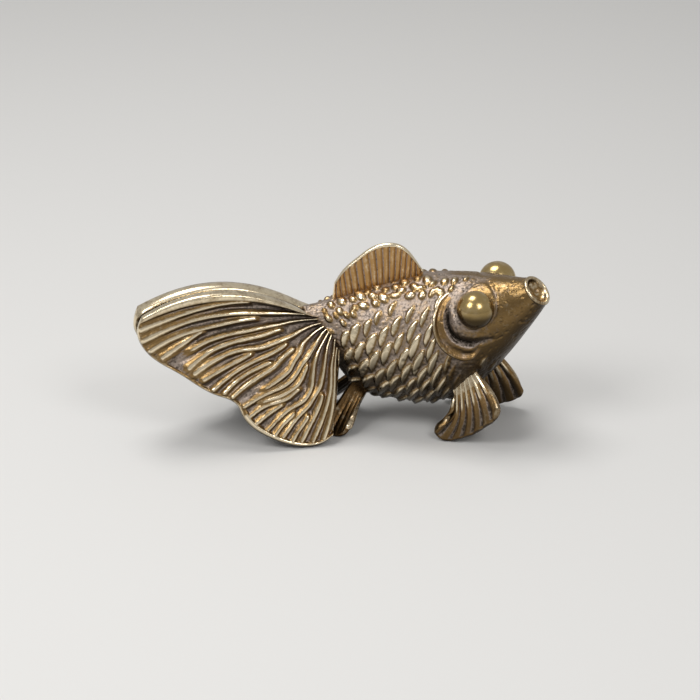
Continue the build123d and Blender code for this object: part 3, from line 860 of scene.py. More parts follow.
lumps = LUMP_DEPTH * roughen(skin_points, LUMP_SIZE)
pits = -PIT_DEPTH * smoothstep(*PIT_SPAN, roughen(skin_points, PIT_SIZE))
rough_back = smoothstep(*BACK_SPAN, SKIN_FORWARD)
grit = GRIT_DEPTH * roughen(skin_points, GRIT_SIZE) * rough_back * smoothstep(*GRIT_SPAN, skin_height)
skin_relief_height = skin_height + skin_carving + pits + grit
skin_relief = HEAD_RELIEF - BACK_LOWER * rough_back
skin_relief = skin_relief + CARVING_RELIEF * (skin_carving + pits) + GRIT_RELIEF * grit
scale_crest = smoothstep(*SCALE_CREST_SPAN, scale_height)
skin_crest = np.maximum(smoothstep(*BEAD_CREST_SPAN, skin_height), scale_crest)
skin_relief += RAISED_RELIEF * (smoothstep(*RAISED_SPAN, skin_height) + skin_crest)
body_points = skin_points + skin_normals * (skin_relief_height + skin_swell + lumps)[..., None]
print("relief runs from", round(float(skin_relief.min()), 2), "to", round(float(skin_relief.max()), 2))

# %% [markdown]
# ## The mouth
# The lips are a round rolled rim, and the mouth behind them a shallow rough dish. More rings on the same
# grid turn over the rim and run down into the dish, so that the lips need no seam. Two rings close the tail
# end, which the tail fins hide.

# %% Turn the lips in
LIP_RADIUS = 1.75
# Each row: radius and height along the mouth's own axis
LIP_RINGS = np.array((
    (1.80, 0.06), (1.80, 0.16), (1.74, 0.26), (1.64, 0.31), (1.53, 0.30), (1.44, 0.22), (1.38, 0.08),
    (1.33, -0.10), (1.25, -0.28), (1.10, -0.46), (0.90, -0.60), (0.66, -0.70), (0.36, -0.76), (0.02, -0.78),
))
DISH_LUMP_SIZE = 0.5
DISH_LUMP_DEPTH = 0.10
DISH_EDGE = (1.40, 1.15)
LIP_RELIEF = 0.70
DISH_LOWER = 0.16
DISH_SPOTS = 0.45
TAIL_END_SHARES = np.array((0.02, 0.6))
TAIL_END_RELIEF = 0.3
# Painted shade on the throat and lower cheek: how much, and where, along the skin and up it
HEAD_PAINTED_SHADE = 0.30
THROAT_ALONG, THROAT_UNDER = (16.5, 20.5), (4.5, 1.0)
BODY_SHADE_FROM = 0.30

lip_ring = skin_points[-1]
lip_centre = lip_ring.mean(axis=0)
lip_axis = np.cross(lip_ring[0] - lip_centre, lip_ring[BACK_COLUMN] - lip_centre)
lip_axis = lip_axis / np.linalg.norm(lip_axis)
if lip_axis @ spine_axes(BODY_LENGTH)[1] < 0:
    lip_axis = -lip_axis
lip_spokes = (lip_ring - lip_centre) / LIP_RADIUS
mouth_points = lip_centre + LIP_RINGS[:, 0:1, None] * lip_spokes + LIP_RINGS[:, 1:2, None] * lip_axis
inside = smoothstep(*DISH_EDGE, LIP_RINGS[:, 0:1])
dish_lumps = roughen(mouth_points, DISH_LUMP_SIZE)
mouth_points = mouth_points + (DISH_LUMP_DEPTH * inside * dish_lumps)[..., None] * lip_axis
mouth_relief = LIP_RELIEF - DISH_LOWER * inside + DISH_SPOTS * inside * dish_lumps
tail_middle = skin_points[0].mean(axis=0)
tail_end = tail_middle + TAIL_END_SHARES[:, None, None] * (skin_points[0] - tail_middle)

body_rows = np.concatenate([tail_end, body_points, mouth_points])
body_relief = np.concatenate([np.full(tail_end.shape[:2], TAIL_END_RELIEF), skin_relief, mouth_relief])
skin_painted_shade = HEAD_PAINTED_SHADE * smoothstep(*THROAT_ALONG, SKIN_FORWARD) * smoothstep(*THROAT_UNDER, SKIN_UP)
body_painted_shade = np.concatenate([np.zeros(tail_end.shape[:2]), skin_painted_shade, np.zeros_like(mouth_relief)])
make_piece(
    "body_skin", body_rows, grid_faces(len(body_rows), SKIN_COLUMNS, closed=True), body_relief,
    BRASSES["body"], "body", BODY_SHADE_FROM, painted_shade=body_painted_shade,
)

# %% [markdown]
# ## The eyes
# The eyes are smooth balls half sunk in the head, the brightest metal on the fish. Rings from pole to pole
# make one, and a little noise keeps it from looking like a bought bead.

# %% Turn the eyes
EYE_RINGS = 44
EYE_COLUMNS = 72
EYE_DENT = 0.02
EYE_DENT_SIZE = 0.9
EYE_DENT_RELIEF = 0.06
EYE_RELIEF = 0.55
EYE_SHADE_FROM = 0.40
POLE_GAP = 0.02

ball_angles = np.linspace(POLE_GAP, math.pi - POLE_GAP, EYE_RINGS)[:, None, None]
eye_turn = np.arange(EYE_COLUMNS) * 2 * math.pi / EYE_COLUMNS
for side_name, side in SIDES.items():
    heading, leftward = spine_axes(EYE_FORWARD)[1:]
    spokes = np.cos(eye_turn)[:, None] * heading + np.sin(eye_turn)[:, None] * UPWARD
    outward = np.sin(ball_angles) * spokes + np.cos(ball_angles) * leftward * side
    dents = roughen(eye_centre(side) + EYE_RADIUS * outward, EYE_DENT_SIZE)
    points = eye_centre(side) + (EYE_RADIUS + EYE_DENT * dents)[..., None] * outward
    eye_relief = EYE_RELIEF + EYE_DENT_RELIEF * dents
    make_piece(
        f"{side_name}_eye_ball", points, grid_faces(EYE_RINGS, EYE_COLUMNS, closed=True), eye_relief,
        BRASSES["eyes"], f"{side_name}_eye", EYE_SHADE_FROM,
    )

# %% [markdown]
# ## The gill covers
# Each cover is a crescent behind the cheek: a rolled bright rim outside, and a rough band that falls away
# to the crease. It follows the head, so each point is dropped onto the skin along the fish's side and then
# lifted by the cover's own profile. Its borders dive under the skin.

# %% Lay out the gill covers
GILL_TOP = math.radians(129)
GILL_SWEEP = math.radians(156)
GILL_ROWS = 150
GILL_COLUMNS = 44
GILL_START = 40.0
GILL_TOP_ASIDE = 2.0
GILL_BORDER = 0.12
GILL_SINK = 0.30
# Both ends of a cover narrow to this share, and its height fades in from the top and out at the foot
GILL_END_SHARE, GILL_END_SPAN = 0.45, (0, 0.22)
GILL_TOP_FADE, GILL_FOOT_FADE = (0, 0.38), (1.0, 0.85)
# Across the cover, from the crease to the outer border: share of the way, and height over the skin
GILL_PROFILE = np.array((
    (0.00, -0.25), (0.06, -0.05), (0.14, 0.14), (0.24, 0.22), (0.36, 0.19), (0.50, 0.15), (0.59, 0.20),
    (0.67, 0.38), (0.75, 0.51), (0.83, 0.53), (0.90, 0.42), (0.95, 0.18), (1.00, -0.30),
))

skin_tree = BVHTree.FromPolygons(
    skin_points.reshape(-1, 3).tolist(), grid_faces(SKIN_ROWS, SKIN_COLUMNS, closed=True).tolist()
)
gill_profile = cubic_through(GILL_PROFILE[:, 0], GILL_PROFILE[:, 1:2])
gill_turn = GILL_TOP + GILL_SWEEP * np.linspace(0, 1, GILL_ROWS)[:, None]
gill_across = np.linspace(0, 1, GILL_COLUMNS)[None, :]
spoke_ahead, spoke_above = np.cos(gill_turn), np.sin(gill_turn)
inner_ahead, inner_above = CHEEK_RADIUS * spoke_ahead, CHEEK_RISE + CHEEK_RADIUS * spoke_above
gill_edge = GILL_RADIUS + GILL_BORDER
outer_ahead, outer_above = gill_edge * spoke_ahead, gill_edge * spoke_above
gill_ends = np.minimum(np.linspace(0, 1, GILL_ROWS), np.linspace(1, 0, GILL_ROWS))[:, None]
gill_reach = gill_across * (GILL_END_SHARE + (1 - GILL_END_SHARE) * smoothstep(*GILL_END_SPAN, gill_ends))
gill_ahead = inner_ahead + gill_reach * (outer_ahead - inner_ahead)
gill_above = GILL_UP + inner_above + gill_reach * (outer_above - inner_above)
gill_height = gill_profile(gill_across + 0 * gill_turn)[..., 0]
gill_down = np.linspace(0, 1, GILL_ROWS)[:, None]
gill_fade = smoothstep(*GILL_TOP_FADE, gill_down) * smoothstep(*GILL_FOOT_FADE, gill_down)
gill_height = (gill_height + GILL_SINK) * gill_fade - GILL_SINK * (1 - gill_fade)
print("a gill cover is up to", gill_height.max().round(2), "mm thick")

# %% Drape the gill covers
GILL_LUMP_SIZE = 0.35
GILL_LUMP_DEPTH = 0.03
GILL_LUMP_RELIEF = 3
GILL_BAND = (0.66, 0.55)
GILL_RELIEF = 0.46
GILL_CREASE_SPAN = (0.22, 0.06)
# The bright line along the rim, worn metal: its place and width across the cover, and how it fades downward
# as painted shade
RIM_PLACE, RIM_WIDTH = 0.80, 0.09
RIM_BRIGHT, RIM_FADE, RIM_FADE_SPAN = 0.34, 0.22, (0.25, 0.75)
GILL_SHADE_FROM = 0.30


def drop_on_skin(ahead, above, side):
    """Points of the head's side at places in the plane of the cheek, and the skin's normals there."""
    places = gill_spine + ahead[..., None] * gill_heading + above[..., None] * UPWARD
    outward = side * gill_leftward
    inward = Vector(-outward)
    points, normals = np.zeros_like(places), np.zeros_like(places)
    for index in np.ndindex(ahead.shape):
        point, normal, _, _ = skin_tree.ray_cast(Vector(places[index] + GILL_START * outward), inward)
        if point is None:
            point, normal, _, _ = skin_tree.find_nearest(Vector(places[index] + GILL_TOP_ASIDE * outward))
        points[index] = point
        normals[index] = normal if normal.dot(inward) < 0 else -normal
    return points, normals


for side_name, side in SIDES.items():
    points, normals = drop_on_skin(gill_ahead, gill_above, side)
    lump = GILL_LUMP_DEPTH * roughen(points, GILL_LUMP_SIZE) * smoothstep(*GILL_BAND, gill_across)
    points = points + normals * (gill_height + lump)[..., None]
    rim_bright = RIM_BRIGHT - RIM_FADE * smoothstep(*RIM_FADE_SPAN, gill_down)
    rim_light = bump_at(gill_across, RIM_PLACE, RIM_WIDTH) * rim_bright
    gill_relief = GILL_RELIEF * (1 - smoothstep(*GILL_CREASE_SPAN, gill_across)) + rim_light
    gill_relief = gill_relief + GILL_LUMP_RELIEF * lump
    make_piece(
        f"{side_name}_gill", points, grid_faces(GILL_ROWS, GILL_COLUMNS), gill_relief,
        BRASSES["gill_covers"], f"{side_name}_gill_cover", GILL_SHADE_FROM,
    )

# %% [markdown]
# ## A fin is a thick sheet
# All fins are made by one function. It takes the fin's middle sheet, as rays of points from the root to the
# rim, and the thickness to each side. The thickness fades to nothing round the free edges, in a curve, so
# the two faces meet in a rounded rim. The root stays open inside the body.

# %% Write the fin maker
HOLLOW_RELIEF = 0.16
FLANK_RELIEF, FLANK_SPAN = 0.52, (0.06, 0.45)
CREST_RELIEF, CREST_SPAN = 0.36, (0.76, 0.98)
# The bright rim: how far in it starts and is full, in rim radii
RIM_SPAN = np.array((1.3, 0.2))


def relief_of(raised, hollow):
    """Relief from how far metal is raised, 0 to 1: a narrow hollow, a broad plain flank and a worn crest."""
    plain = hollow + (FLANK_RELIEF - hollow) * smoothstep(*FLANK_SPAN, raised)
    return plain + CREST_RELIEF * smoothstep(*CREST_SPAN, raised)


def fin_piece(
    name, node, middle, outer, inner, raised, rim_radius, outward, material, shade_from,
    rim_light=1.0, hollow=HOLLOW_RELIEF, painted_shade=0.0,
):
    """A fin from its middle sheet (rays by steps), the thickness of both its faces, and its ribs."""
    rays, steps = middle.shape[:2]
    normal = grid_normals(middle)
    if (normal * outward).sum(-1).mean() < 0:
        normal = -normal
    from_root = lengths_along(np.swapaxes(middle, 0, 1)).T
    to_rim = from_root[:, -1:] - from_root
    from_first = lengths_along(middle)
    to_last = from_first[-1:] - from_first
    edge = np.minimum(np.minimum(from_first, to_last), to_rim)
    inside = np.clip(edge / rim_radius, 0, 1)
    roundness = np.sqrt(1 - (1 - inside) ** 2)
    halves = ((1, outer), (-1, inner))
    faces = [middle + sign * normal * (half * roundness)[..., None] for sign, half in halves]
    raised = np.maximum(raised, rim_light * smoothstep(*(RIM_SPAN * rim_radius), edge))
    relief = relief_of(raised, hollow)
    quads = grid_faces(rays, steps)
    points = np.concatenate([face.reshape(-1, 3) for face in faces])
    return make_piece(
        name, points, np.concatenate([quads, quads[:, ::-1] + rays * steps]), np.tile(relief.ravel(), 2),
        material, node, shade_from, np.broadcast_to(painted_shade, (2, rays, steps)).ravel(),
    )


def ribs(across, count, sharpness):
    """Rounded ribs from 0 to 1 across a fin, with valleys at both edges."""
    return np.abs(np.sin(math.pi * count * across)) ** sharpness


print("two ribs stand", ribs(np.linspace(0, 1, 5), 2, 1.0).round(2), "across a fin")

# %% [markdown]
# ## The dorsal fin
# The sail on the back has many near-upright rays and a thin bright rim. Its base and its rim are two curves
# along the back, and a ray joins them at each share of their length.

# %% Raise the sail
DORSAL_LENGTH = 10.0
DORSAL_HEIGHT = 4.8
DORSAL_HALF = 0.30
DORSAL_RIBS = 16
DORSAL_REAR = 0.115 * BODY_LENGTH
DORSAL_REAR_UP = BELLY_HEIGHT + 0.78 * BODY_HEIGHT
DORSAL_FRONT_UP = BELLY_HEIGHT + 0.985 * BODY_HEIGHT
DORSAL_SINK_SHARE = 0.35
# From the rear to the front: share of the base, share of the height
DORSAL_TIP_SHARES = np.array((
    (0.03, 0.40), (0.14, 0.68), (0.28, 0.85), (0.44, 1.00), (0.61, 0.99), (0.74, 0.87), (0.85, 0.62),
    (0.94, 0.30), (1.00, 0.08),
))
SAIL_RAYS, SAIL_STEPS = 200, 70
SAIL_RIM_SPAN = (0.88, 0.95)
SAIL_RIM_RADIUS = 0.22
# How its ribs sway along the back, how often, and how far they lean upward
SAIL_SWAY, SAIL_SWAYS, SAIL_LEAN = 0.012, 9, 0.03
# Shares of the half thickness
SAIL_WEB_SHARE, SAIL_RIB_SHARE, SAIL_RIM_SHARE = 0.55, 0.55, 0.50
# How far its valleys and ribs count as raised
SAIL_VALLEY, SAIL_RIB = 0.02, 0.80
SAIL_SHADE_FROM = -0.10


def even_curve(points):
    """A smooth curve through points, read by the share of its length."""
    points = np.asarray(points, float)
    rough = lengths_along(points)
    curve = cubic_through(rough / rough[-1], points)
    shares = np.linspace(0, 1, 800)
    travelled = lengths_along(curve(shares))
    return lambda share: curve(np.interp(share, travelled / travelled[-1], shares))


def sail_point(share, height):
    """A point over the fin's base line in the straight fish."""
    up = DORSAL_REAR_UP + share * (DORSAL_FRONT_UP - DORSAL_REAR_UP) + height
    return np.stack([DORSAL_REAR + share * DORSAL_LENGTH, 0 * share, up], -1)


sail_across = np.linspace(0, 1, SAIL_RAYS)
sail_up = np.linspace(-DORSAL_SINK_SHARE, 1, SAIL_STEPS)[None, :]
sail_roots = sail_point(sail_across, 0 * sail_across)
sail_edge = sail_point(DORSAL_TIP_SHARES[:, 0], DORSAL_TIP_SHARES[:, 1] * DORSAL_HEIGHT)
sail_tips = even_curve(sail_edge)(sail_across)
sail_middle = sail_roots[:, None] + sail_up[..., None] * (sail_tips - sail_roots)[:, None]
sail_sway = SAIL_SWAY * np.sin(SAIL_SWAYS * sail_across)[:, None] + SAIL_LEAN * np.clip(sail_up, 0, 1)
sail_ribs = ribs(sail_across[:, None] + sail_sway, DORSAL_RIBS, 1.0)
sail_rim = smoothstep(*SAIL_RIM_SPAN, sail_up)
sail_shares = SAIL_WEB_SHARE + SAIL_RIB_SHARE * sail_ribs * (1 - sail_rim) + SAIL_RIM_SHARE * sail_rim
sail_half = DORSAL_HALF * sail_shares
sail_raised = np.maximum(SAIL_VALLEY + SAIL_RIB * sail_ribs, sail_rim)
fin_piece(
    "sail", "dorsal_fin", bend(sail_middle), sail_half, sail_half, sail_raised, SAIL_RIM_RADIUS,
    spine_axes(SPINE_VERTEX)[2], BRASSES["sail"], SAIL_SHADE_FROM,
)

# %% [markdown]
# ## The pectoral fins
# The front pair are fluted fans that stand on the floor. Their rear edge draws in at a narrow waist before
# the fan spreads. Rays from a short root to a curved rim make the fan, and bowing the rays near its rear edge
# makes the waist. The root is painted bright, partly as wear and partly as a painted highlight, and the lower
# half is painted dark between its flutes, as painted shade.

# %% Spread the pectoral fins
PECTORAL_SPREAD = 8.3
PECTORAL_REACH = 5.3
PECTORAL_DROP = 6.8
PECTORAL_HALF = 0.50
PECTORAL_RIBS = 7
PECTORAL_FORWARD = 0.69 * BODY_LENGTH
PECTORAL_SINK_SHARE = 0.25
PECTORAL_WAIST = 1.5
PECTORAL_BULGE = 0.5
PECTORAL_RAYS, PECTORAL_STEPS = 160, 110
PECTORAL_BOW = 1.2
RIB_SHARPNESS = 0.8
# Near the root, as shares down: where flutes rise out of solid metal, and where wear and a painted highlight
# brighten it
FLUTE_START, FLUTE_ROOT = (0.40, 0.10), 0.8
LIT_WORN_ROOT, LIT_WORN_ROOT_RAISED = (0.40, 0.15), 0.86
# Down the fan: where it grows to full thickness, and where painted shade dims its flutes and darkens it
THICKEN_SPAN, THIN_SHARE = (0.0, 0.35), 0.6
RIB_SHADE_SPAN, RIB_SHADE_SHARE = (0.30, 0.75), 0.50
PAINTED_SHADE_SPAN, PAINTED_SHADE_SHARE = (0.35, 0.85), 0.5
PECTORAL_WEB_SHARE = 0.45
PECTORAL_RIM_RADIUS, PECTORAL_RIM_LIGHT = 0.4, 0.84
PECTORAL_HOLLOW = -0.15
PECTORAL_SHADE_FROM = 0.20
PECTORAL_ROOT_SHARES = np.array(((-0.18, 0.62, 0.84), (0.20, 0.62, 1.16)))
PECTORAL_TIP_SHARES = {
    "right": (
        (-0.34, 0.92, 0.25), (-0.40, 0.93, 0.13), (-0.34, 0.94, 0.02), (-0.19, 0.95, -0.03),
        (0.02, 0.96, 0.04), (0.25, 0.98, 0.18), (0.43, 1.00, 0.36), (0.59, 1.00, 0.55),
        (0.61, 0.98, 0.73),
    ),
    "left": (
        (-0.42, 0.92, 0.27), (-0.47, 0.93, 0.15), (-0.38, 0.94, 0.02), (-0.21, 0.95, -0.03),
        (0.04, 0.96, -0.03), (0.23, 0.97, 0.02), (0.40, 0.98, 0.13), (0.49, 0.97, 0.24),
        (0.50, 0.95, 0.37),
    ),
}


def fan(roots, tips, rays, steps, sink):
    """Straight rays from a root line to a rim curve, as shares across and down, and their points."""
    across = np.linspace(0, 1, rays)
    down = np.linspace(-sink, 1, steps)[None, :]
    root = roots[0] + across[:, None] * (roots[1] - roots[0])
    return across[:, None], down, root[:, None] + down[..., None] * (even_curve(tips)(across) - root)[:, None]


for side_name, side in SIDES.items():
    sizes = np.array((PECTORAL_SPREAD, side * PECTORAL_REACH, PECTORAL_DROP))
    start = np.array((PECTORAL_FORWARD, 0, 0))
    rim = start + np.array(PECTORAL_TIP_SHARES[side_name]) * sizes
    roots = start + PECTORAL_ROOT_SHARES * sizes
    across, down, middle = fan(roots, rim, PECTORAL_RAYS, PECTORAL_STEPS, PECTORAL_SINK_SHARE)
    bow = np.sin(math.pi * np.clip(down, 0, 1) ** PECTORAL_BOW)
    middle[..., 0] += PECTORAL_WAIST * bow * (1 - across) ** 2 + PECTORAL_BULGE * bow * across ** 2
    rib = ribs(across, PECTORAL_RIBS, RIB_SHARPNESS) + 0 * down
    rib = np.maximum(rib, FLUTE_ROOT * smoothstep(*FLUTE_START, down))
    grown = THIN_SHARE + (1 - THIN_SHARE) * smoothstep(*THICKEN_SPAN, down)
    thickness = PECTORAL_HALF * (PECTORAL_WEB_SHARE + (1 - PECTORAL_WEB_SHARE) * rib) * grown
    rib_wear_and_shade = rib * (1 - RIB_SHADE_SHARE * smoothstep(*RIB_SHADE_SPAN, down))
    raised = np.maximum(rib_wear_and_shade, LIT_WORN_ROOT_RAISED * smoothstep(*LIT_WORN_ROOT, down))
    fin_piece(
        f"{side_name}_pectoral_fan", f"{side_name}_pectoral_fin", bend(middle), thickness, thickness, raised,
        PECTORAL_RIM_RADIUS, spine_axes(PECTORAL_FORWARD)[2] * side, BRASSES["fins"], PECTORAL_SHADE_FROM,
        PECTORAL_RIM_LIGHT, PECTORAL_HOLLOW, painted_shade=PAINTED_SHADE_SHARE * smoothstep(*PAINTED_SHADE_SPAN, down),
    )

# %% [markdown]
# ## The anal fins
# A small pair stands under the rear of the belly, painted dark as the shade there, and bright along the front
# edge. They are fans as the pectoral fins are, with shallow ribs and a thicker front edge, so the same
# function lays out their rays.

# %% Spread the anal fins
ANAL_REACH = 5.0
ANAL_DROP = 4.6
ANAL_SWEEP = 6.0
ANAL_HALF = 0.38
ANAL_RIBS = 6
ANAL_FORWARD = 0.27 * BODY_LENGTH
ANAL_SINK_SHARE = 0.25
ANAL_RAYS, ANAL_STEPS = 110, 90
ANAL_EDGE_SPAN = (0.84, 0.92)
# Shares of the half thickness, and how far the web, its ribs and the front edge count as raised
ANAL_WEB_SHARE, ANAL_RIB_SHARE, ANAL_EDGE_SHARE = 0.60, 0.12, 0.38
ANAL_WEB, ANAL_RIB, ANAL_EDGE = 0.38, 0.05, 0.86
ANAL_RIM_RADIUS, ANAL_RIM_LIGHT = 0.3, 0.6
ANAL_SHADE_FROM = 0.20
ANAL_ROOT_SHARES = np.array(((-0.36, 0.24, 1.10), (0.02, 0.20, 0.95)))
ANAL_TIP_SHARES = np.array((
    (-1.00, 0.72, 0.16), (-0.88, 0.80, 0.00), (-0.72, 0.92, -0.04), (-0.58, 0.98, 0.03), (-0.46, 0.90, 0.24),
))

for side_name, side in SIDES.items():
    sizes = np.array((ANAL_SWEEP, side * ANAL_REACH, ANAL_DROP))
    start = np.array((ANAL_FORWARD, 0, 0))
    roots = start + ANAL_ROOT_SHARES * sizes
    tips = start + ANAL_TIP_SHARES * sizes
    across, down, middle = fan(roots, tips, ANAL_RAYS, ANAL_STEPS, ANAL_SINK_SHARE)
    rib = ribs(across, ANAL_RIBS, RIB_SHARPNESS) + 0 * down
    front = smoothstep(*ANAL_EDGE_SPAN, across) + 0 * down
    thickness = ANAL_HALF * (ANAL_WEB_SHARE + ANAL_RIB_SHARE * rib + ANAL_EDGE_SHARE * front)
    raised = np.maximum(ANAL_WEB + ANAL_RIB * rib, ANAL_EDGE * front)
    fin_piece(
        f"{side_name}_anal_fan", f"{side_name}_anal_fin", bend(middle), thickness, thickness, raised,
        ANAL_RIM_RADIUS, spine_axes(ANAL_FORWARD)[2] * side, BRASSES["shaded_fins"], ANAL_SHADE_FROM,
        ANAL_RIM_LIGHT,
    )

# %% [markdown]
# ## The tail
# Two large halves lean together above and spread to the floor. Their rays are arched, and long rounded
# ridges run out along them: some start at the root, others branch off further out. Each ridge is a row of a
# table, read along its crest, and the valleys are what the ridges leave. A formula of even flutes would be
# shorter, but no two ridges of the real tail are alike.

# %% List the tail's ridges
TAIL_LENGTH = 18.5
TAIL_HEIGHT = 17.0
TAIL_SPREAD = 6.4
TAIL_ROOT_HALF = 0.65
TAIL_RIM_HALF = 0.42
TAIL_ARCH = 2.7
TAIL_BULGE = 0.5
TAIL_RAYS = 230
TAIL_STEPS = 190
TAIL_SINK_SHARE = 0.05
TAIL_ROOT_SHARES = np.array(((0.040, 0.17, 0.68), (0.140, 0.41, 0.49)))
TAIL_MARGIN_SHARES = np.array((
    (0.970, 0.13, 0.88), (1.000, 0.17, 0.81), (0.950, 0.24, 0.64), (0.773, 0.40, 0.50),
    (0.568, 0.60, 0.36), (0.457, 0.71, 0.30), (0.425, 0.77, 0.22), (0.308, 0.88, 0.08),
    (0.146, 0.95, -0.01), (-0.040, 0.96, -0.01), (-0.120, 0.92, 0.04),
))
# Each ridge: places along its way from the root, as shares of the length along a ray and of the way across
TAIL_RIDGES = (
    ((0.34, 0.030), (0.47, 0.040), (0.60, 0.050), (0.72, 0.057), (0.84, 0.060), (0.98, 0.056)),
    ((0.03, 0.020), (0.10, 0.060), (0.20, 0.093), (0.30, 0.105), (0.42, 0.103), (0.60, 0.097), (0.99, 0.100)),
    ((0.33, 0.143), (0.47, 0.148), (0.60, 0.150), (0.70, 0.145), (0.82, 0.140), (0.98, 0.147)),
    ((0.64, 0.150), (0.72, 0.162), (0.80, 0.177), (0.96, 0.196)),
    ((0.02, 0.125), (0.11, 0.173), (0.21, 0.207), (0.26, 0.223), (0.34, 0.230), (0.44, 0.233), (0.56, 0.223),
     (0.66, 0.217), (0.77, 0.220), (0.92, 0.240)),
    ((0.25, 0.226), (0.26, 0.252), (0.30, 0.280), (0.39, 0.290), (0.49, 0.287), (0.59, 0.275), (0.67, 0.270),
     (0.77, 0.273), (0.93, 0.295)),
    ((0.02, 0.255), (0.13, 0.313), (0.21, 0.347), (0.29, 0.370), (0.39, 0.373), (0.50, 0.367), (0.55, 0.353),
     (0.61, 0.333), (0.71, 0.321), (0.80, 0.320), (0.94, 0.326)),
    ((0.54, 0.357), (0.56, 0.366), (0.61, 0.374), (0.71, 0.375), (0.94, 0.369)),
    ((0.30, 0.375), (0.32, 0.398), (0.37, 0.422), (0.44, 0.431), (0.52, 0.430), (0.64, 0.419), (0.79, 0.417),
     (0.97, 0.428)),
    ((0.02, 0.355), (0.09, 0.402), (0.18, 0.456), (0.25, 0.485), (0.33, 0.530), (0.39, 0.548), (0.44, 0.563),
     (0.48, 0.578), (0.54, 0.581), (0.62, 0.576), (0.70, 0.569), (0.84, 0.546)),
    ((0.30, 0.474), (0.38, 0.489), (0.45, 0.496), (0.56, 0.513), (0.64, 0.513), (0.78, 0.504), (0.97, 0.505)),
    ((0.51, 0.494), (0.56, 0.480), (0.64, 0.468), (0.70, 0.461), (0.78, 0.457), (0.96, 0.468)),
    ((0.02, 0.440), (0.08, 0.495), (0.18, 0.556), (0.24, 0.585), (0.29, 0.602), (0.35, 0.609), (0.41, 0.622),
     (0.46, 0.631), (0.52, 0.633), (0.60, 0.622), (0.72, 0.593), (0.80, 0.578), (0.96, 0.560)),
    ((0.29, 0.606), (0.33, 0.641), (0.37, 0.659), (0.43, 0.674), (0.49, 0.681), (0.56, 0.672), (0.68, 0.640),
     (0.78, 0.608), (0.90, 0.585)),
    ((0.02, 0.525), (0.09, 0.580), (0.16, 0.622), (0.22, 0.652), (0.32, 0.707), (0.40, 0.748), (0.44, 0.763),
     (0.51, 0.770), (0.56, 0.767), (0.62, 0.750), (0.69, 0.724), (0.80, 0.705), (0.94, 0.698)),
    ((0.48, 0.722), (0.52, 0.704), (0.57, 0.693), (0.63, 0.684), (0.70, 0.659), (0.82, 0.620), (0.95, 0.606)),
    ((0.66, 0.690), (0.75, 0.670), (0.84, 0.655), (0.95, 0.645)),
    ((0.66, 0.735), (0.69, 0.747), (0.76, 0.745), (0.87, 0.735), (0.95, 0.735)),
    ((0.02, 0.620), (0.10, 0.693), (0.19, 0.756), (0.29, 0.800), (0.35, 0.815), (0.41, 0.825), (0.51, 0.812),
     (0.59, 0.804), (0.69, 0.782), (0.82, 0.770), (0.94, 0.768)),
    ((0.64, 0.803), (0.67, 0.817), (0.74, 0.820), (0.88, 0.811), (0.95, 0.810)),
    ((0.43, 0.828), (0.46, 0.852), (0.52, 0.865), (0.60, 0.863), (0.76, 0.852), (0.94, 0.846)),
    ((0.02, 0.760), (0.11, 0.837), (0.18, 0.860), (0.24, 0.878), (0.35, 0.911), (0.42, 0.920), (0.60, 0.914),
     (0.76, 0.902), (0.94, 0.890)),
    ((0.06, 0.880), (0.33, 0.952), (0.45, 0.968), (0.60, 0.966), (0.94, 0.940)),
)
print(len(TAIL_RIDGES), "ridges on each half of the tail")

# %% Arch the tail's rays
FOLD_SHARE = 0.05
FOLD_LIFT = 0.45
FOLD_ROUNDNESS = 0.6

tail_margin = even_curve(TAIL_MARGIN_SHARES * (-TAIL_LENGTH, TAIL_SPREAD, TAIL_HEIGHT))
tail_root = TAIL_ROOT_SHARES * (BODY_LENGTH, BODY_WIDTH / 2, BODY_HEIGHT) + (0, 0, BELLY_HEIGHT)
tail_across = np.linspace(0, 1, TAIL_RAYS)[:, None]
tail_along = np.linspace(-TAIL_SINK_SHARE, 1, TAIL_STEPS)[None, :]
tail_fold = np.clip(1 - tail_across / FOLD_SHARE, 0, 1)


def tail_sheet(side):
    """The middle of a tail half: arched rays, bent at their root, knee and rim."""
    across = tail_across[:, 0]
    root = tail_root[0] + tail_across * (tail_root[1] - tail_root[0])
    rim = tail_margin(across)
    knee = (root + rim) / 2
    knee[:, 1] += 2 * TAIL_BULGE * across
    knee[:, 2] += 2 * TAIL_ARCH * (1 - across) ** 2
    corners = [bend(line * (1, side, 1))[:, None] for line in (root, knee, rim)]
    along = tail_along[..., None]
    points = (1 - along) ** 2 * corners[0] + 2 * along * (1 - along) * corners[1] + along ** 2 * corners[2]
    fold = np.sin(math.pi * np.clip(tail_along, 0, 1)) ** FOLD_ROUNDNESS
    points[..., 2] += FOLD_LIFT * tail_fold ** 2 * fold
    return points


print("the tail's rim starts at", tail_margin(0.0).round(1), "and ends at", tail_margin(1.0).round(1))

# %% Raise the ridges
RIDGE_HALF_WIDTH = 0.62
RIDGE_ROOT_HALF_WIDTH = 0.26
RIDGE_ROUNDNESS = 1.5
RIDGE_STEPS = 26
# Ridges are thin up to here along a ray, and widest at the tip of the upper lobe
ROOT_SPAN = (0, 0.40)
TIP_RIDGE_EXTRA = 0.45
TIP_ALONG, TIP_ACROSS = (0.70, 0.95), (0.42, 0.30)
# A ridge that starts past the root or ends before the rim fades, between these lengths from its end
START_FADE, END_FADE = (-0.02, 0.06), (-0.12, 0.02)
ROOT_END, RIM_START = 0.1, 0.93


def distance_to_line(points, line):
    """How far each point of a grid is from a line of straight runs."""
    nearest = np.full(points.shape[:2], np.inf)
    for start, end in zip(line, line[1:]):
        run = end - start
        share = np.clip((points - start) @ run / (run @ run), 0, 1)
        gap = points - start - share[..., None] * run
        nearest = np.minimum(nearest, (gap ** 2).sum(-1))
    return np.sqrt(nearest)


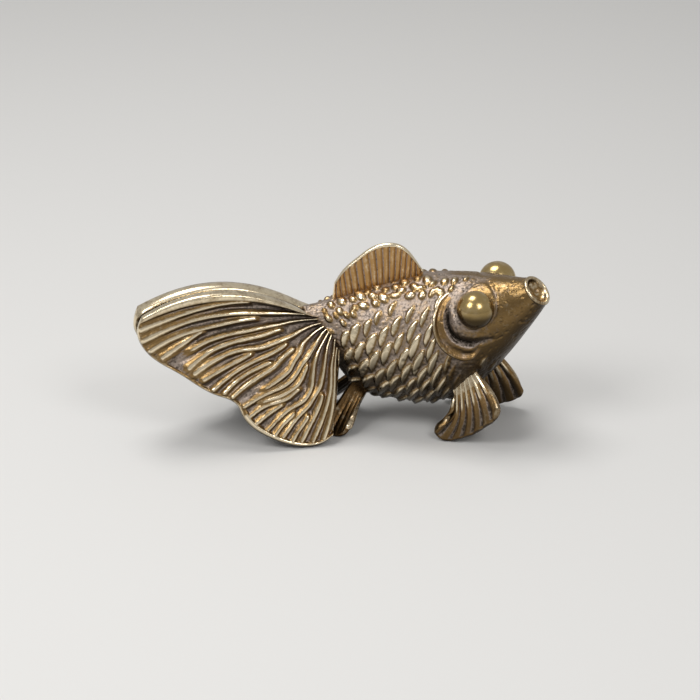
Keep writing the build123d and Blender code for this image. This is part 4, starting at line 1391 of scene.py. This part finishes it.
def on_grid(points, down, across):
    """Points between those of a grid, at shares down its rows and across its columns."""
    row = np.clip(down, 0, 1) * (len(points) - 1)
    column = np.clip(across, 0, 1) * (points.shape[1] - 1)
    i = np.minimum(row.astype(int), len(points) - 2)
    j = np.minimum(column.astype(int), points.shape[1] - 2)
    row, column = (row - i)[:, None], (column - j)[:, None]
    first = points[i, j] + column * (points[i, j + 1] - points[i, j])
    second = points[i + 1, j] + column * (points[i + 1, j + 1] - points[i + 1, j])
    return first + row * (second - first)


def ridge_field(points):
    """Height from 0 to 1 of the tail's ridges on its grid."""
    width = RIDGE_ROOT_HALF_WIDTH
    width = width + (RIDGE_HALF_WIDTH - width) * smoothstep(*ROOT_SPAN, tail_along)
    at_tip = smoothstep(*TIP_ALONG, tail_along) * smoothstep(*TIP_ACROSS, tail_across)
    width = width + TIP_RIDGE_EXTRA * at_tip
    height = np.zeros(points.shape[:2])
    for ridge in TAIL_RIDGES:
        along, across = np.array(ridge).T
        fine = np.linspace(along[0], along[-1], RIDGE_STEPS)
        path = cubic_through(along, across[:, None])(fine)[:, 0]
        line = on_grid(points, path, (fine + TAIL_SINK_SHARE) / (1 + TAIL_SINK_SHARE))
        away = np.clip(distance_to_line(points, line) / width, 0, 1)
        fade = 1.0
        if along[0] > ROOT_END:
            fade = fade * smoothstep(*START_FADE, tail_along - along[0])
        if along[-1] < RIM_START:
            fade = fade * (1 - smoothstep(*END_FADE, tail_along - along[-1]))
        height = np.maximum(height, (1 - away ** RIDGE_ROUNDNESS) * fade)
    return height


print("ridges are up to", 2 * (RIDGE_HALF_WIDTH + TIP_RIDGE_EXTRA), "mm wide")

# %% Make the tail halves
RIDGE_HEIGHT = 0.60
# The share of a ridge's height that stays sunk in the sheet, and how much of it the inner face shows
RIDGE_SUNK_SHARE = 0.55
INNER_SHARE = 0.25
RIDGE_WEAR = 1.7
STREAK_DEPTH, STREAK_RAISED = 0.04, 0.16
STREAKS = 67
STREAK_WANDER, STREAK_WANDER_SIZE = 3, 3.0
TAIL_LUMP_SIZE, TAIL_LUMP_DEPTH = 0.9, 0.03
FOLD_SPAN = (0, 0.5)
FOLD_THICKENING, FOLD_LOWER = 0.25, 0.10
# The rim is smooth and stands as high as the ridges, widely at the lower lobe
RIM_ALONG = (0.97, 1.0)
LOWER_RIM_ALONG, LOWER_RIM_ACROSS = (0.925, 0.965), (0.54, 0.60)
# The inner face is painted dark, as the shade between the halves, up to the fold and the rim
INSIDE_SHADE = 0.92
INSIDE_ACROSS, INSIDE_ALONG = (0.006, 0.020), (0.998, 0.985)
TAIL_RIM_RADIUS, TAIL_RIM_LIGHT = 0.5, 0.9
TAIL_SHADE_FROM = 0.05

lower_rim = smoothstep(*LOWER_RIM_ALONG, tail_along) * smoothstep(*LOWER_RIM_ACROSS, tail_across)
smooth_parts = np.maximum(lower_rim, smoothstep(*RIM_ALONG, tail_along))
smooth_parts = np.maximum(smooth_parts, smoothstep(*FOLD_SPAN, tail_fold))
tail_inner_shade = INSIDE_SHADE * smoothstep(*INSIDE_ACROSS, tail_across) * smoothstep(*INSIDE_ALONG, tail_along)
for side_name, side in SIDES.items():
    middle = tail_sheet(side)
    ridges = np.maximum(ridge_field(middle), smooth_parts)
    wander = STREAK_WANDER * roughen(middle, STREAK_WANDER_SIZE)
    streaks = np.sin(2 * math.pi * STREAKS * tail_across + wander) * (1 - ridges)
    half = TAIL_ROOT_HALF + np.clip(tail_along, 0, 1) * (TAIL_RIM_HALF - TAIL_ROOT_HALF)
    half = half + FOLD_THICKENING * tail_fold
    raise_by = RIDGE_HEIGHT * (ridges - RIDGE_SUNK_SHARE)
    lumps = TAIL_LUMP_DEPTH * roughen(middle, TAIL_LUMP_SIZE)
    raised = ridges ** RIDGE_WEAR + STREAK_RAISED * streaks - FOLD_LOWER * smoothstep(*FOLD_SPAN, tail_fold)
    outer = half + raise_by + STREAK_DEPTH * streaks + lumps
    inner = half + INNER_SHARE * raise_by
    fin_piece(
        f"{side_name}_tail_fan", f"{side_name}_tail_fin", middle, outer, inner, raised, TAIL_RIM_RADIUS,
        spine_axes(0.0)[2] * side, BRASSES["tail"], TAIL_SHADE_FROM, TAIL_RIM_LIGHT,
        painted_shade=np.stack([0 * tail_inner_shade, tail_inner_shade]),
    )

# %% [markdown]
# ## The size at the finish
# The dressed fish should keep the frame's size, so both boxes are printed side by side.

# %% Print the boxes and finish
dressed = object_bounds()
for label, box in (("frame", CAD_BOX), ("dressed", dressed)):
    print(label, [round(x / MM, 1) for x in box[1] - box[0]], "mm")
